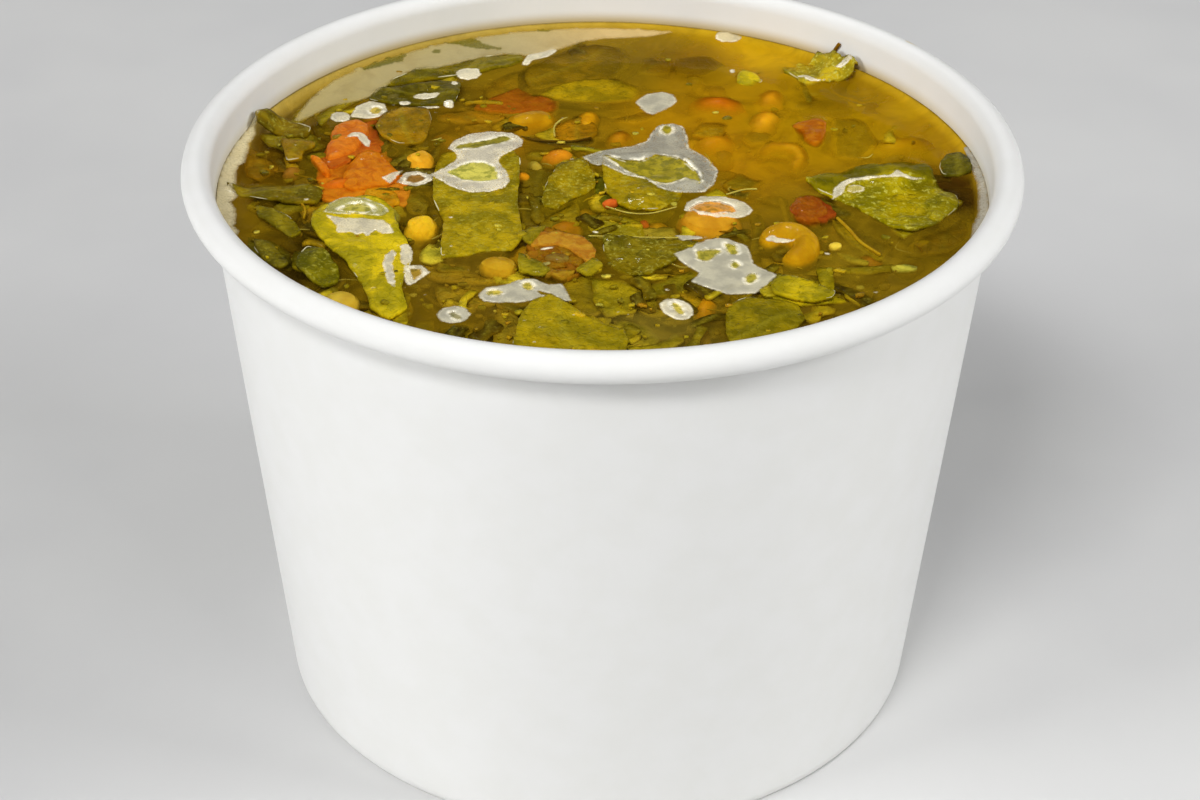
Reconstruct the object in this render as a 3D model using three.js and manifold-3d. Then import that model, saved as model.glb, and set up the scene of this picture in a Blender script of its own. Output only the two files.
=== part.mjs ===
// A paper cup of spinach and lentil soup, in millimetres with +Z up.
// The origin is the centre of the ring on which the cup stands, and the front of the cup faces -Y.
import * as THREE from "three";
import { mergeVertices } from "three/addons/utils/BufferGeometryUtils.js";
import Module from "manifold-3d";

const wasm = await Module();
wasm.setup();

// Driving dimensions of the cup.
const CUP_HEIGHT = 71;
const RIM_RADIUS = 49;
const CURL_RADIUS = 1.75;
const WALL_FOOT_RADIUS = 39.8;
const WALL_TOP_RADIUS = 46.05;
const PAPER = 0.45;
const BASE_PAPER = 0.35;
const BASE_HEIGHT = 7;
const HEM_HEIGHT = 5.8;
const FLANGE_FOOT = 1.3;
const GAP = 0.3;
const ROUND_SEGMENTS = 56;
const CURL_STEP = THREE.MathUtils.degToRad(30);
const CURL_TURN = THREE.MathUtils.degToRad(300);

// Driving dimensions of the soup.
const SOUP_LEVEL = 65;
const MENISCUS_RISE = 0.7;
const MENISCUS_WIDTH = 2.6;
const MENISCUS_STEPS = 3;
const LEAF_THICKNESS = 0.6;
const OUTLINE_SPACING = 2.9;
const OUTLINE_TENSION = 0.4;
const POCKET_TOP = SOUP_LEVEL + 6;
const CLIMB_START = 41.4;
const SHORE_RADIUS = 44.9;

const curlCentre = new THREE.Vector2(RIM_RADIUS - CURL_RADIUS, CUP_HEIGHT - CURL_RADIUS);
const wallSlope = (WALL_TOP_RADIUS - WALL_FOOT_RADIUS) / curlCentre.y;
const hemSpacing = PAPER + BASE_PAPER + 2 * GAP;

// Radius of the middle of the wall's paper at height z.
function wallMiddle(z) {
  return WALL_FOOT_RADIUS - PAPER / 2 + wallSlope * z;
}

// The two sides of a strip of paper along a path in the (radius, height) plane, joined into one outline.
function stripProfile(path, thickness) {
  const right = [];
  const left = [];
  path.forEach((point, i) => {
    const before = path[Math.max(i - 1, 0)];
    const after = path[Math.min(i + 1, path.length - 1)];
    const into = point.clone().sub(before).normalize();
    const out = after.clone().sub(point).normalize();
    const along = into.clone().add(out).normalize();
    const half = i === 0 || i === path.length - 1 ? 0 : into.angleTo(out) / 2;
    const reach = thickness / 2 / Math.cos(half);
    right.push(new THREE.Vector2(point.x + along.y * reach, point.y - along.x * reach));
    left.push(new THREE.Vector2(point.x - along.y * reach, point.y + along.x * reach));
  });
  return [...right, ...left.reverse()];
}

// A solid of revolution about Z from an outline in the (radius, height) plane.
function turned(profile) {
  return new THREE.LatheGeometry(profile, ROUND_SEGMENTS).rotateX(Math.PI / 2);
}

// The wall is one strip: folded hem inside the foot, cone, and the rim rolled outwards.
function wallGeometry() {
  const foldWidth = 0.25;
  const foldHeight = 0.65;
  const neckHeight = curlCentre.y - 3.2;
  const path = [
    new THREE.Vector2(wallMiddle(HEM_HEIGHT) - hemSpacing, HEM_HEIGHT),
    new THREE.Vector2(wallMiddle(foldHeight) - hemSpacing, foldHeight),
    new THREE.Vector2(wallMiddle(0) - hemSpacing + foldWidth, PAPER / 2),
    new THREE.Vector2(wallMiddle(0) - foldWidth, PAPER / 2),
    new THREE.Vector2(wallMiddle(foldHeight), foldHeight),
    new THREE.Vector2(wallMiddle(neckHeight), neckHeight),
  ];
  const curlMiddle = CURL_RADIUS - PAPER / 2 / Math.cos(CURL_STEP / 2);
  for (let turn = 0; turn < CURL_TURN - CURL_STEP / 2; turn += CURL_STEP) {
    const angle = Math.PI - turn;
    path.push(
      new THREE.Vector2(Math.cos(angle), Math.sin(angle)).multiplyScalar(curlMiddle).add(curlCentre),
    );
  }
  const profile = stripProfile(path, PAPER);
  return turned([...profile, profile[0].clone()]);
}

// The base is a disc whose edge is turned down between the wall and the folded hem.
function baseGeometry() {
  const bend = 0.9;
  const flange = (z) => wallMiddle(z) - hemSpacing / 2;
  const path = [
    new THREE.Vector2(0, BASE_HEIGHT),
    new THREE.Vector2(flange(BASE_HEIGHT) - bend, BASE_HEIGHT),
    new THREE.Vector2(flange(BASE_HEIGHT) - bend / 4, BASE_HEIGHT - bend / 4),
    new THREE.Vector2(flange(BASE_HEIGHT - bend), BASE_HEIGHT - bend),
    new THREE.Vector2(flange(FLANGE_FOOT), FLANGE_FOOT),
  ];
  const profile = stripProfile(path, BASE_PAPER);
  profile[0].x = 0;
  profile.at(-1).x = 0;
  return turned(profile);
}

// The broth fills the cup from its base up to the level, and climbs a little where it wets the wall.
function brothGeometry() {
  const shore = (z) => wallMiddle(z) - PAPER / 2 - GAP;
  const floor = BASE_HEIGHT + BASE_PAPER / 2 + GAP;
  const profile = [new THREE.Vector2(0, floor), new THREE.Vector2(shore(floor) - 0.6, floor)];
  profile.push(new THREE.Vector2(shore(floor + 1), floor + 1));
  for (let step = 0; step <= MENISCUS_STEPS; step += 1) {
    const share = step / MENISCUS_STEPS;
    const height = SOUP_LEVEL + MENISCUS_RISE * (1 - share) ** 2;
    profile.push(new THREE.Vector2(shore(height) - share * MENISCUS_WIDTH, height));
  }
  profile.push(new THREE.Vector2(0, SOUP_LEVEL));
  return turned(profile);
}

// Evenly spaced points on the smooth closed curve through an outline's corners, grown outwards.
function smoothOutline(corners, growth) {
  const curve = new THREE.CatmullRomCurve3(
    corners.map(([x, y]) => new THREE.Vector3(x, y, 0)),
    true,
    "catmullrom",
    OUTLINE_TENSION,
  );
  const count = Math.max(9, Math.round(curve.getLength() / OUTLINE_SPACING));
  const points = curve.getSpacedPoints(count).slice(0, count);
  if (THREE.ShapeUtils.area(points) < 0) points.reverse();
  return points.map((point, i) => {
    const before = points[(i + count - 1) % count];
    const after = points[(i + 1) % count];
    const along = after.clone().sub(before).normalize();
    return new THREE.Vector2(point.x + along.y * growth, point.y - along.x * growth);
  });
}

// The middle of an outline, from which all of its edge can be seen.
function middleOf(corners) {
  const sum = corners.reduce((total, [x, y]) => total.add(new THREE.Vector2(x, y)), new THREE.Vector2());
  return sum.divideScalar(corners.length);
}

// A closed slab inside an outline. top and bottom give the heights of its faces at a point,
// which is also told how far it lies from the middle (0) towards the edge (1).
function slabGeometry(corners, centre, growth, rings, top, bottom) {
  const edge = smoothOutline(corners, growth);
  const count = edge.length;
  const positions = [];
  const faces = [];
  const addFace = (height) => {
    const first = positions.length / 3;
    positions.push(centre.x, centre.y, height(centre.x, centre.y, 0));
    for (const ring of rings) {
      for (const point of edge) {
        const x = THREE.MathUtils.lerp(centre.x, point.x, ring);
        const y = THREE.MathUtils.lerp(centre.y, point.y, ring);
        positions.push(x, y, height(x, y, ring));
      }
    }
    return first;
  };
  const upper = addFace(top);
  const lower = addFace(bottom);
  const vertex = (first, ring, i) => first + 1 + ring * count + (i % count);
  for (let i = 0; i < count; i += 1) {
    faces.push(upper, vertex(upper, 0, i), vertex(upper, 0, i + 1));
    faces.push(lower, vertex(lower, 0, i + 1), vertex(lower, 0, i));
    for (let ring = 1; ring < rings.length; ring += 1) {
      const [a, b] = [vertex(upper, ring - 1, i), vertex(upper, ring - 1, i + 1)];
      const [c, d] = [vertex(upper, ring, i), vertex(upper, ring, i + 1)];
      faces.push(a, c, d, a, d, b);
      const shift = lower - upper;
      faces.push(a + shift, d + shift, c + shift, a + shift, b + shift, d + shift);
    }
    const outer = rings.length - 1;
    const [a, b] = [vertex(upper, outer, i), vertex(upper, outer, i + 1)];
    const [c, d] = [vertex(lower, outer, i), vertex(lower, outer, i + 1)];
    faces.push(a, c, d, a, d, b);
  }
  const geometry = new THREE.BufferGeometry();
  geometry.setAttribute("position", new THREE.Float32BufferAttribute(positions, 3));
  geometry.setIndex(faces);
  return geometry;
}

// Height of a floating leaf's middle surface: soft waves, a lean, a crest, and a climb up the wall.
function leafHeight(leaf) {
  const { lift = 0, wave = 0.25, lean = [0, 0], climb = 0, crest } = leaf;
  const centre = leaf.centre ?? middleOf(leaf.corners);
  const phase = centre.x * 0.7 + centre.y * 1.3;
  return (x, y) => {
    const waves = Math.sin(x * 0.55 + phase) * Math.cos(y * 0.48 - phase);
    const slope = lean[0] * (x - centre.x) + lean[1] * (y - centre.y);
    const shore = THREE.MathUtils.smoothstep(Math.hypot(x, y), CLIMB_START, SHORE_RADIUS);
    let ridge = 0;
    if (crest) {
      const away = (y - crest.y - crest.slope * (x - crest.x)) / crest.width;
      ridge = crest.height * Math.exp(-away * away);
    }
    return SOUP_LEVEL + lift + wave * waves + slope + climb * shore + ridge;
  };
}

// A leaf, and the larger pocket that it needs in the broth.
function leafGeometry(leaf, growth) {
  const centre = leaf.centre ?? middleOf(leaf.corners);
  const height = leafHeight(leaf);
  const rings = [0.5, 1];
  const bottom = (x, y) => height(x, y) - LEAF_THICKNESS / 2 - growth;
  const top = growth > 0 ? () => POCKET_TOP : (x, y) => height(x, y) + LEAF_THICKNESS / 2;
  return slabGeometry(leaf.corners, centre, growth, rings, top, bottom);
}

// A soft lump of tomato, carrot or onion with a domed top, and the pocket that it needs.
function lumpGeometry(lump, growth) {
  const centre = lump.centre ?? middleOf(lump.corners);
  const rings = [0.5, 0.85, 1];
  const edgeHalf = 0.3;
  const dome = (share) => Math.sqrt(1 - share * share);
  const uneven = (x, y) => 0.18 * Math.sin(x * 1.3 + y * 0.4) * Math.cos(y * 1.1 - x * 0.3);
  const middle = SOUP_LEVEL - 0.2;
  const bottom = (x, y, share) => middle - edgeHalf - lump.depth * dome(share) - growth;
  const top = (x, y, share) => middle + edgeHalf + (lump.height + uneven(x, y)) * dome(share);
  return slabGeometry(lump.corners, centre, growth, rings, growth > 0 ? () => POCKET_TOP : top, bottom);
}

// A bean, pea or lentil: an ellipsoid of the given half sizes, turned and set half under the level.
function beanGeometry(bean, growth) {
  const [alongHalf, acrossHalf, upHalf] = bean.halves;
  const turn = new THREE.Euler(
    THREE.MathUtils.degToRad(bean.tip ?? 0),
    0,
    THREE.MathUtils.degToRad(bean.heading ?? 0),
    "ZYX",
  );
  const place = new THREE.Matrix4().makeRotationFromEuler(turn);
  place.setPosition(bean.at[0], bean.at[1], SOUP_LEVEL + bean.top - upHalf);
  return new THREE.SphereGeometry(1, 12, 8)
    .scale(alongHalf + growth, acrossHalf + growth, upHalf + growth)
    .applyMatrix4(place);
}

// A bean that has curled open: a rounded bar bent round an arc, longer than it is wide.
function curledGeometry(bean, growth) {
  const steps = 12;
  const sides = 8;
  const positions = [];
  const faces = [];
  const middleZ = SOUP_LEVEL + bean.top - bean.barHalf;
  const pointAt = (angle, reach, rise) => {
    const radius = bean.arcRadius + reach;
    const x = bean.at[0] + radius * Math.cos(angle);
    const y = bean.at[1] + radius * Math.sin(angle) * bean.stretch;
    positions.push(x, y, middleZ + rise);
  };
  const start = THREE.MathUtils.degToRad(bean.start);
  const end = THREE.MathUtils.degToRad(bean.end);
  const spare = growth / bean.arcRadius;
  pointAt(start - spare, 0, 0);
  for (let step = 1; step < steps; step += 1) {
    const share = step / steps;
    const angle = THREE.MathUtils.lerp(start - spare, end + spare, share);
    const plump = (bean.barHalf + growth) * Math.sin(Math.PI * share) ** 0.4;
    for (let side = 0; side < sides; side += 1) {
      const around = (2 * Math.PI * side) / sides;
      pointAt(angle, plump * Math.cos(around), plump * Math.sin(around));
    }
  }
  pointAt(end + spare, 0, 0);
  const last = positions.length / 3 - 1;
  const vertex = (step, side) => 1 + (step - 1) * sides + (side % sides);
  for (let side = 0; side < sides; side += 1) {
    faces.push(0, vertex(1, side), vertex(1, side + 1));
    faces.push(last, vertex(steps - 1, side + 1), vertex(steps - 1, side));
    for (let step = 1; step < steps - 1; step += 1) {
      const [a, b] = [vertex(step, side), vertex(step, side + 1)];
      const [c, d] = [vertex(step + 1, side), vertex(step + 1, side + 1)];
      faces.push(a, c, d, a, d, b);
    }
  }
  const geometry = new THREE.BufferGeometry();
  geometry.setAttribute("position", new THREE.Float32BufferAttribute(positions, 3));
  geometry.setIndex(faces);
  return geometry;
}

// Colours of the soup, from bright wet leaf to cooked tomato.
const LEAF_BRIGHT = 0x8e8e10;
const LEAF_MIDDLE = 0x76700a;
const LEAF_DARK = 0x504e08;
const LEAF_PALE = 0xa8a02c;
const BEAN_ORANGE = 0xd0881c;
const BEAN_YELLOW = 0xbe9618;
const KERNEL = 0xe4b820;
const TOMATO_RED = 0xb04818;
const TOMATO_ORANGE = 0xcd6419;
const ONION = 0xa87820;

// Spinach leaves at the surface, each by the corners of its outline seen from above.
const leaves = [
  {
    name: "leaf_big_square",
    colour: LEAF_MIDDLE,
    corners: [
      [-19.3, 8],
      [-10.6, 8.8],
      [-9.9, -4],
      [-9.2, -15.2],
      [-13.1, -16.2],
      [-17.7, -18.2],
      [-18.2, -12],
      [-18.4, -7.5],
      [-19.8, -4],
    ],
    lean: [0.01, -0.01],
  },
  {
    name: "leaf_long_left",
    colour: LEAF_BRIGHT,
    corners: [
      [-32.2, -5.2],
      [-26.7, -4.4],
      [-24.2, -6.2],
      [-23.6, -10.5],
      [-21.4, -17],
      [-22, -25],
      [-21.1, -29.8],
      [-23.5, -31],
      [-25.2, -29],
      [-26, -25],
      [-28.4, -19.6],
      [-33.2, -11.2],
    ],
    centre: new THREE.Vector2(-27.2, -13.5),
    wave: 0.4,
    lift: 0.15,
  },
  {
    name: "leaf_folded_right",
    colour: LEAF_BRIGHT,
    corners: [
      [24, 0.7],
      [29.9, 5],
      [37.3, 7.3],
      [39.4, 3],
      [40.2, -1.5],
      [42.2, -2.9],
      [39.8, -7.3],
      [35, -11.3],
      [29.9, -5.7],
      [27.2, -3],
    ],
    centre: new THREE.Vector2(34.5, -0.8),
    lift: -0.15,
    lean: [0, -0.03],
    crest: { x: 25, y: 0, slope: 0.3, width: 2.6, height: 0.75 },
  },
  {
    name: "leaf_crumpled_back_right",
    colour: LEAF_PALE,
    corners: [
      [22.8, 33.4],
      [26, 33.6],
      [28.4, 34.2],
      [33, 30],
      [30.4, 28.9],
      [26, 28.2],
      [24, 30.4],
    ],
    climb: 1.8,
    lift: 0.1,
    wave: 0.3,
  },
  {
    name: "leaf_front_centre",
    colour: LEAF_BRIGHT,
    corners: [
      [-9.3, -35.6],
      [-8.4, -29],
      [-6, -25.7],
      [-3.8, -27.6],
      [-0.3, -31.4],
      [2.3, -32.8],
      [2, -39.5],
      [-8.6, -40.5],
    ],
  },
  {
    name: "leaf_front_right",
    colour: LEAF_MIDDLE,
    corners: [
      [13.4, -33.1],
      [13.7, -28.3],
      [15.7, -26.1],
      [18, -26],
      [21.7, -27.9],
      [22, -30],
      [20, -33.6],
      [14.4, -36.4],
    ],
  },
  {
    name: "leaf_strip_front_right",
    colour: LEAF_PALE,
    corners: [
      [19.9, -21.6],
      [26, -25.2],
      [25, -26.3],
      [22.6, -26.8],
      [18.6, -25],
    ],
    lift: 0.2,
  },
  {
    name: "leaf_small_centre",
    colour: LEAF_BRIGHT,
    corners: [
      [-5, 5.4],
      [-1.6, 5],
      [-0.8, -1],
      [-3, -2.6],
      [-6, -6.9],
      [-7, -3],
    ],
    lift: 0.15,
  },
  {
    name: "leaf_centre",
    colour: LEAF_BRIGHT,
    corners: [
      [0.1, 6.8],
      [4, 7.6],
      [8, 8],
      [11.4, 4],
      [11.9, 0.6],
      [9.4, -1.8],
      [8.4, -4.6],
      [6, -6.3],
      [3, -5.8],
      [0.6, -2.2],
    ],
    lift: 0.1,
    wave: 0.4,
  },
  {
    name: "leaf_dark_centre",
    colour: LEAF_DARK,
    corners: [
      [0.2, -12.9],
      [5, -13],
      [10.9, -13.2],
      [9, -17],
      [6, -20.4],
      [3.8, -21.3],
      [1, -19],
    ],
  },
  {
    name: "leaf_star_left",
    colour: LEAF_MIDDLE,
    corners: [
      [-39.2, 11.2],
      [-36.4, 10.5],
      [-34.2, 10.4],
      [-36, 8.2],
      [-36.3, 5.5],
      [-38, 5.5],
      [-38.4, 8],
    ],
  },
  {
    name: "leaf_strip_left",
    colour: LEAF_DARK,
    corners: [
      [-44.2, -1.7],
      [-40, -1.5],
      [-33.2, -1],
      [-33.4, -4.8],
      [-38, -4.8],
      [-42, -3.6],
    ],
    climb: 0.9,
  },
  {
    name: "leaf_oval_left",
    colour: LEAF_MIDDLE,
    corners: [
      [-40.2, -6],
      [-38.6, -6.6],
      [-35.6, -9.8],
      [-34.2, -12.6],
      [-35.2, -13.4],
      [-39.6, -8.4],
    ],
    lift: 0.1,
  },
  {
    name: "leaf_dark_left",
    colour: LEAF_DARK,
    corners: [
      [-39.5, -14.2],
      [-37.8, -14.6],
      [-35.4, -18],
      [-35.2, -20.4],
      [-36.6, -20],
      [-38.8, -17],
    ],
  },
  {
    name: "leaf_curled_left",
    colour: LEAF_BRIGHT,
    corners: [
      [-33.2, -16],
      [-31.5, -16.6],
      [-29.8, -19.4],
      [-29, -22.5],
      [-30.2, -24.4],
      [-32.9, -22.6],
      [-34.2, -19.5],
    ],
    lift: 0.3,
    wave: 0.4,
  },
  {
    name: "leaf_band_back_left",
    colour: LEAF_MIDDLE,
    corners: [
      [-28.4, 26.2],
      [-23.5, 31.2],
      [-18.6, 33.8],
      [-13.8, 35.6],
      [-10.3, 36.4],
      [-10.9, 33.1],
      [-15, 30.9],
      [-19, 29.4],
      [-23.8, 28],
    ],
    centre: new THREE.Vector2(-18.6, 31.4),
    lift: -0.1,
  },
  {
    name: "leaf_block_back_left",
    colour: LEAF_DARK,
    corners: [
      [-29.3, 22.2],
      [-28, 25.2],
      [-23.5, 26.8],
      [-18.5, 27.8],
      [-18.4, 22.2],
      [-20.3, 21],
      [-25.4, 20.9],
    ],
  },
  {
    name: "leaf_olive_left",
    colour: LEAF_MIDDLE,
    corners: [
      [-28, 15.1],
      [-27, 18.4],
      [-25, 19.8],
      [-21.6, 19.3],
      [-21.3, 13.8],
      [-22.2, 10.4],
      [-25, 10.4],
      [-26.7, 11.9],
    ],
  },
  {
    name: "leaf_strip_right",
    colour: LEAF_DARK,
    corners: [
      [40.6, 3.4],
      [43.6, 2.9],
      [44.1, 5.5],
      [43.2, 8.3],
      [41.5, 8.2],
      [40.5, 6],
    ],
    climb: 0.5,
  },
  {
    name: "leaf_tip_left",
    colour: LEAF_DARK,
    corners: [
      [-36.2, 12.4],
      [-36.2, 14.8],
      [-39.5, 15.7],
      [-41.6, 15.2],
      [-42.7, 12.9],
      [-40.5, 12.4],
    ],
    climb: 2,
  },
  {
    name: "leaf_fleck_back",
    colour: LEAF_PALE,
    corners: [
      [17.1, 28],
      [17.6, 31.4],
      [19.5, 30.2],
      [20.2, 28.3],
      [18, 27.2],
    ],
    lift: 0.05,
  },
];

// Soft pieces of tomato, carrot and onion, each by its outline, its rise above the level and its depth.
const lumps = [
  {
    name: "tomato_red",
    colour: TOMATO_RED,
    corners: [
      [-33.4, 13.5],
      [-32.2, 16.4],
      [-29.9, 17],
      [-28.7, 16.2],
      [-29, 10.8],
      [-30.4, 8.2],
      [-32.5, 5.8],
      [-34, 6.6],
      [-33.1, 9.2],
    ],
    centre: new THREE.Vector2(-31, 11.8),
    height: 1.1,
    depth: 2.4,
  },
  {
    name: "tomato_orange",
    colour: TOMATO_ORANGE,
    corners: [
      [-28.6, 9.4],
      [-26.7, 8.2],
      [-25.4, 5.1],
      [-24, 3.2],
      [-24.1, 0.6],
      [-26.7, -0.1],
      [-29.5, -2],
      [-31.1, 0.8],
      [-30.6, 3.5],
      [-30, 6.6],
    ],
    height: 0.8,
    depth: 2.6,
  },
  {
    name: "carrot_shred_left",
    colour: TOMATO_ORANGE,
    corners: [
      [-35.3, 7],
      [-34.6, 6.9],
      [-33.2, 4.6],
      [-32.2, 2.1],
      [-32.7, 1.8],
      [-34, 4.2],
    ],
    height: 0.5,
    depth: 0.5,
  },
  {
    name: "carrot_right",
    colour: TOMATO_ORANGE,
    corners: [
      [22.8, 15.8],
      [25, 17.7],
      [27.8, 18.5],
      [27.6, 15.1],
      [26.6, 11],
      [24.6, 11.4],
      [24.8, 14.8],
    ],
    centre: new THREE.Vector2(26.2, 15.4),
    height: 0.4,
    depth: 1.8,
  },
  {
    name: "pepper_right",
    colour: TOMATO_RED,
    corners: [
      [24.2, -1.5],
      [25.8, -4],
      [26.4, -7],
      [24.6, -8.5],
      [22, -7.8],
      [21.7, -4.6],
    ],
    height: 0.6,
    depth: 2.2,
  },
  {
    name: "onion_front",
    colour: ONION,
    corners: [
      [-6.5, -10.9],
      [-3, -11.2],
      [-1.5, -13.5],
      [-1.3, -17],
      [-2.7, -19.7],
      [-6, -19.8],
      [-7.9, -17.3],
      [-8, -13.5],
    ],
    height: 0.7,
    depth: 2.4,
  },
];

// Beans, lentils and kernels that break the surface.
const beans = [
  {
    name: "bean_orange",
    colour: BEAN_ORANGE,
    at: [12.4, -7.7],
    halves: [4, 3.7, 3.2],
    heading: 15,
    top: 1.1,
  },
  {
    name: "kernel_yellow",
    colour: KERNEL,
    at: [-20.8, -10.2],
    halves: [2.6, 2.1, 2.3],
    heading: 80,
    top: 0.9,
  },
  {
    name: "kernel_orange",
    colour: BEAN_ORANGE,
    at: [-22, 6.9],
    halves: [2.8, 1.9, 2.2],
    heading: 95,
    top: 0.6,
  },
  {
    name: "lentil_front_left",
    colour: BEAN_YELLOW,
    at: [-28.5, -27],
    halves: [2.3, 2, 1.4],
    heading: -35,
    top: 0.6,
  },
  {
    name: "lentil_front",
    colour: BEAN_YELLOW,
    at: [-11.5, -19],
    halves: [2.5, 2, 1.6],
    heading: -20,
    top: 0.8,
  },
];

const curledBean = {
  name: "bean_curled",
  colour: BEAN_YELLOW,
  at: [20.9, -13.8],
  arcRadius: 2.35,
  barHalf: 1.55,
  stretch: 1.25,
  start: -105,
  end: 178,
  top: 0.9,
};

// A geometry's closed solid, and back.
function solidFrom(geometry) {
  const bare = geometry.clone();
  bare.deleteAttribute("normal");
  bare.deleteAttribute("uv");
  const merged = mergeVertices(bare, 1e-4);
  return new wasm.Manifold(
    new wasm.Mesh({
      numProp: 3,
      vertProperties: merged.attributes.position.array,
      triVerts: new Uint32Array(merged.index.array),
    }),
  );
}

function geometryFrom(solid) {
  const mesh = solid.getMesh();
  const geometry = new THREE.BufferGeometry();
  geometry.setAttribute("position", new THREE.BufferAttribute(mesh.vertProperties, 3));
  geometry.setIndex(new THREE.BufferAttribute(mesh.triVerts, 1));
  geometry.computeVertexNormals();
  return geometry;
}

function namedMesh(name, geometry, colour, roughness) {
  const material = new THREE.MeshStandardMaterial({ color: colour, roughness, metalness: 0 });
  const mesh = new THREE.Mesh(geometry, material);
  mesh.name = name;
  return mesh;
}

const PAPER_WHITE = 0xe8e8e6;
const BROTH = 0x7a620e;
const PAPER_ROUGHNESS = 0.55;
const BROTH_ROUGHNESS = 0.08;
const FOOD_ROUGHNESS = 0.25;

const cup = new THREE.Group();
cup.add(namedMesh("cup_wall", wallGeometry(), PAPER_WHITE, PAPER_ROUGHNESS));
cup.add(namedMesh("cup_base", baseGeometry(), PAPER_WHITE, PAPER_ROUGHNESS));

const soup = new THREE.Group();
let broth = solidFrom(brothGeometry());
const floating = [
  ...leaves.map((piece) => [piece, leafGeometry]),
  ...lumps.map((piece) => [piece, lumpGeometry]),
  ...beans.map((piece) => [piece, beanGeometry]),
  [curledBean, curledGeometry],
];
for (const [piece, shape] of floating) {
  soup.add(namedMesh(piece.name, shape(piece, 0), piece.colour, FOOD_ROUGHNESS));
  broth = broth.subtract(solidFrom(shape(piece, GAP)));
}
soup.add(namedMesh("broth", geometryFrom(broth), BROTH, BROTH_ROUGHNESS));

const bowlOfSoup = new THREE.Group();
bowlOfSoup.add(cup, soup);
export default bowlOfSoup;
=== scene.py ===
import math

import bmesh
import bpy
import numpy as np
from mathutils import Matrix, Vector, noise
from mathutils.bvhtree import BVHTree
from mathutils.geometry import delaunay_2d_cdt
from mathutils.kdtree import KDTree


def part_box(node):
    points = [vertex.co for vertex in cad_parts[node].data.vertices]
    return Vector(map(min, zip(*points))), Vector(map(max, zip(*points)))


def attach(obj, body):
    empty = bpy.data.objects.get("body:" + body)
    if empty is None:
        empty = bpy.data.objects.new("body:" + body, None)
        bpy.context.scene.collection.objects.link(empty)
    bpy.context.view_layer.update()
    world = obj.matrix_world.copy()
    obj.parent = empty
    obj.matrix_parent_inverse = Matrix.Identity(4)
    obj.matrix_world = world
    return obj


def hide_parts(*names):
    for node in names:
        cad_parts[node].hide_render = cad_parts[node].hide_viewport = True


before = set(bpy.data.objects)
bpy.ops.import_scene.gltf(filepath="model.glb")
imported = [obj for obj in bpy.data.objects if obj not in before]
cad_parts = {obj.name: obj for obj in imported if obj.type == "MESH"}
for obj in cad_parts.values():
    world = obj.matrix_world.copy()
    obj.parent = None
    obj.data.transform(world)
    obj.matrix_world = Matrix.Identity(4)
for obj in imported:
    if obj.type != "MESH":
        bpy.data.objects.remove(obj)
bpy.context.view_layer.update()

# Everything below is worked out in millimetres and turned to metres when a mesh is made.
MM = 0.001


def box_mm(node):
    """A CAD node's lowest and highest corners in millimetres."""
    low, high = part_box(node)
    return np.array(low) / MM, np.array(high) / MM


# Sizes of the cup, from the frame and from how a paper cup is made.
MARGIN = 0.02
WALL_HIGH = box_mm("cup_wall")[1]
BASE_LOW, BASE_HIGH = box_mm("cup_base")
BROTH_FLOOR = box_mm("broth")[0][2]
RIM_RADIUS = WALL_HIGH[0]
CUP_HEIGHT = WALL_HIGH[2] - MARGIN
PAPER = 0.45
BASE_PAPER = 0.35
CURL_RADIUS = 1.75
WALL_FOOT_RADIUS = 39.8
WALL_TOP_RADIUS = 46.05
HEM_HEIGHT = 5.8
CURL_CENTRE = (RIM_RADIUS - CURL_RADIUS, CUP_HEIGHT - CURL_RADIUS)
WALL_SLOPE = (WALL_TOP_RADIUS - WALL_FOOT_RADIUS) / CURL_CENTRE[1]
HEM_SPACING = PAPER + BASE_PAPER + 0.6
WAVE = 0.02

# Sizes of the soup, the spacing of its meshes, and the direction from which its surface is usually seen.
LEVEL = 65.0
SHORE = 45.23
MENISCUS_RISE = 0.7
LEAF_SPACING = 0.42
SKIN_SPACING = 0.3
WALL_BAND = 1.0
HOLE_LAP = 0.35
FOG_LENGTH = 1.9
SIGHT_SHIFT = 1.56
SIGHT = Vector((0, -SIGHT_SHIFT, 1)).normalized()

# Each piece adds a number of its own to the seed.
SEED = 20

# How many scattered pieces there are of each kind.
SCRAP_COUNT = 150
SHRED_COUNT = 130
BEAN_COUNT = 70
STEM_COUNT = 90
CRUMB_COUNT = 420
GLINT_COUNT = 90


def wall_middle(z):
    """Radius of the middle of the wall's paper at height z."""
    return WALL_FOOT_RADIUS - PAPER / 2 + WALL_SLOPE * z


def srgb(red, green, blue):
    """A linear colour from 8-bit screen values."""
    def channel(value):
        value = value / 255
        return value / 12.92 if value <= 0.04045 else ((value + 0.055) / 1.055) ** 2.4
    return (channel(red), channel(green), channel(blue), 1.0)


def smoothstep(value, low, high):
    """0 up to low and 1 from high on, smooth in between."""
    t = np.clip((value - low) / (high - low), 0, 1)
    return t * t * (3 - 2 * t)


def turns(count):
    """Even steps round a circle, in radians."""
    return 2 * math.pi * np.arange(count) / count


# Mesh making.

def mesh_object(name, points, faces, material, smooth=True):
    """A mesh object from points in millimetres."""
    mesh = bpy.data.meshes.new(name)
    mesh.from_pydata([tuple(p) for p in np.asarray(points, float) * MM], [], [list(f) for f in faces])
    mesh.validate()
    mesh.update()
    if smooth:
        mesh.polygons.foreach_set("use_smooth", [True] * len(mesh.polygons))
    obj = bpy.data.objects.new(name, mesh)
    bpy.context.scene.collection.objects.link(obj)
    mesh.materials.append(material)
    return obj


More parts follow.
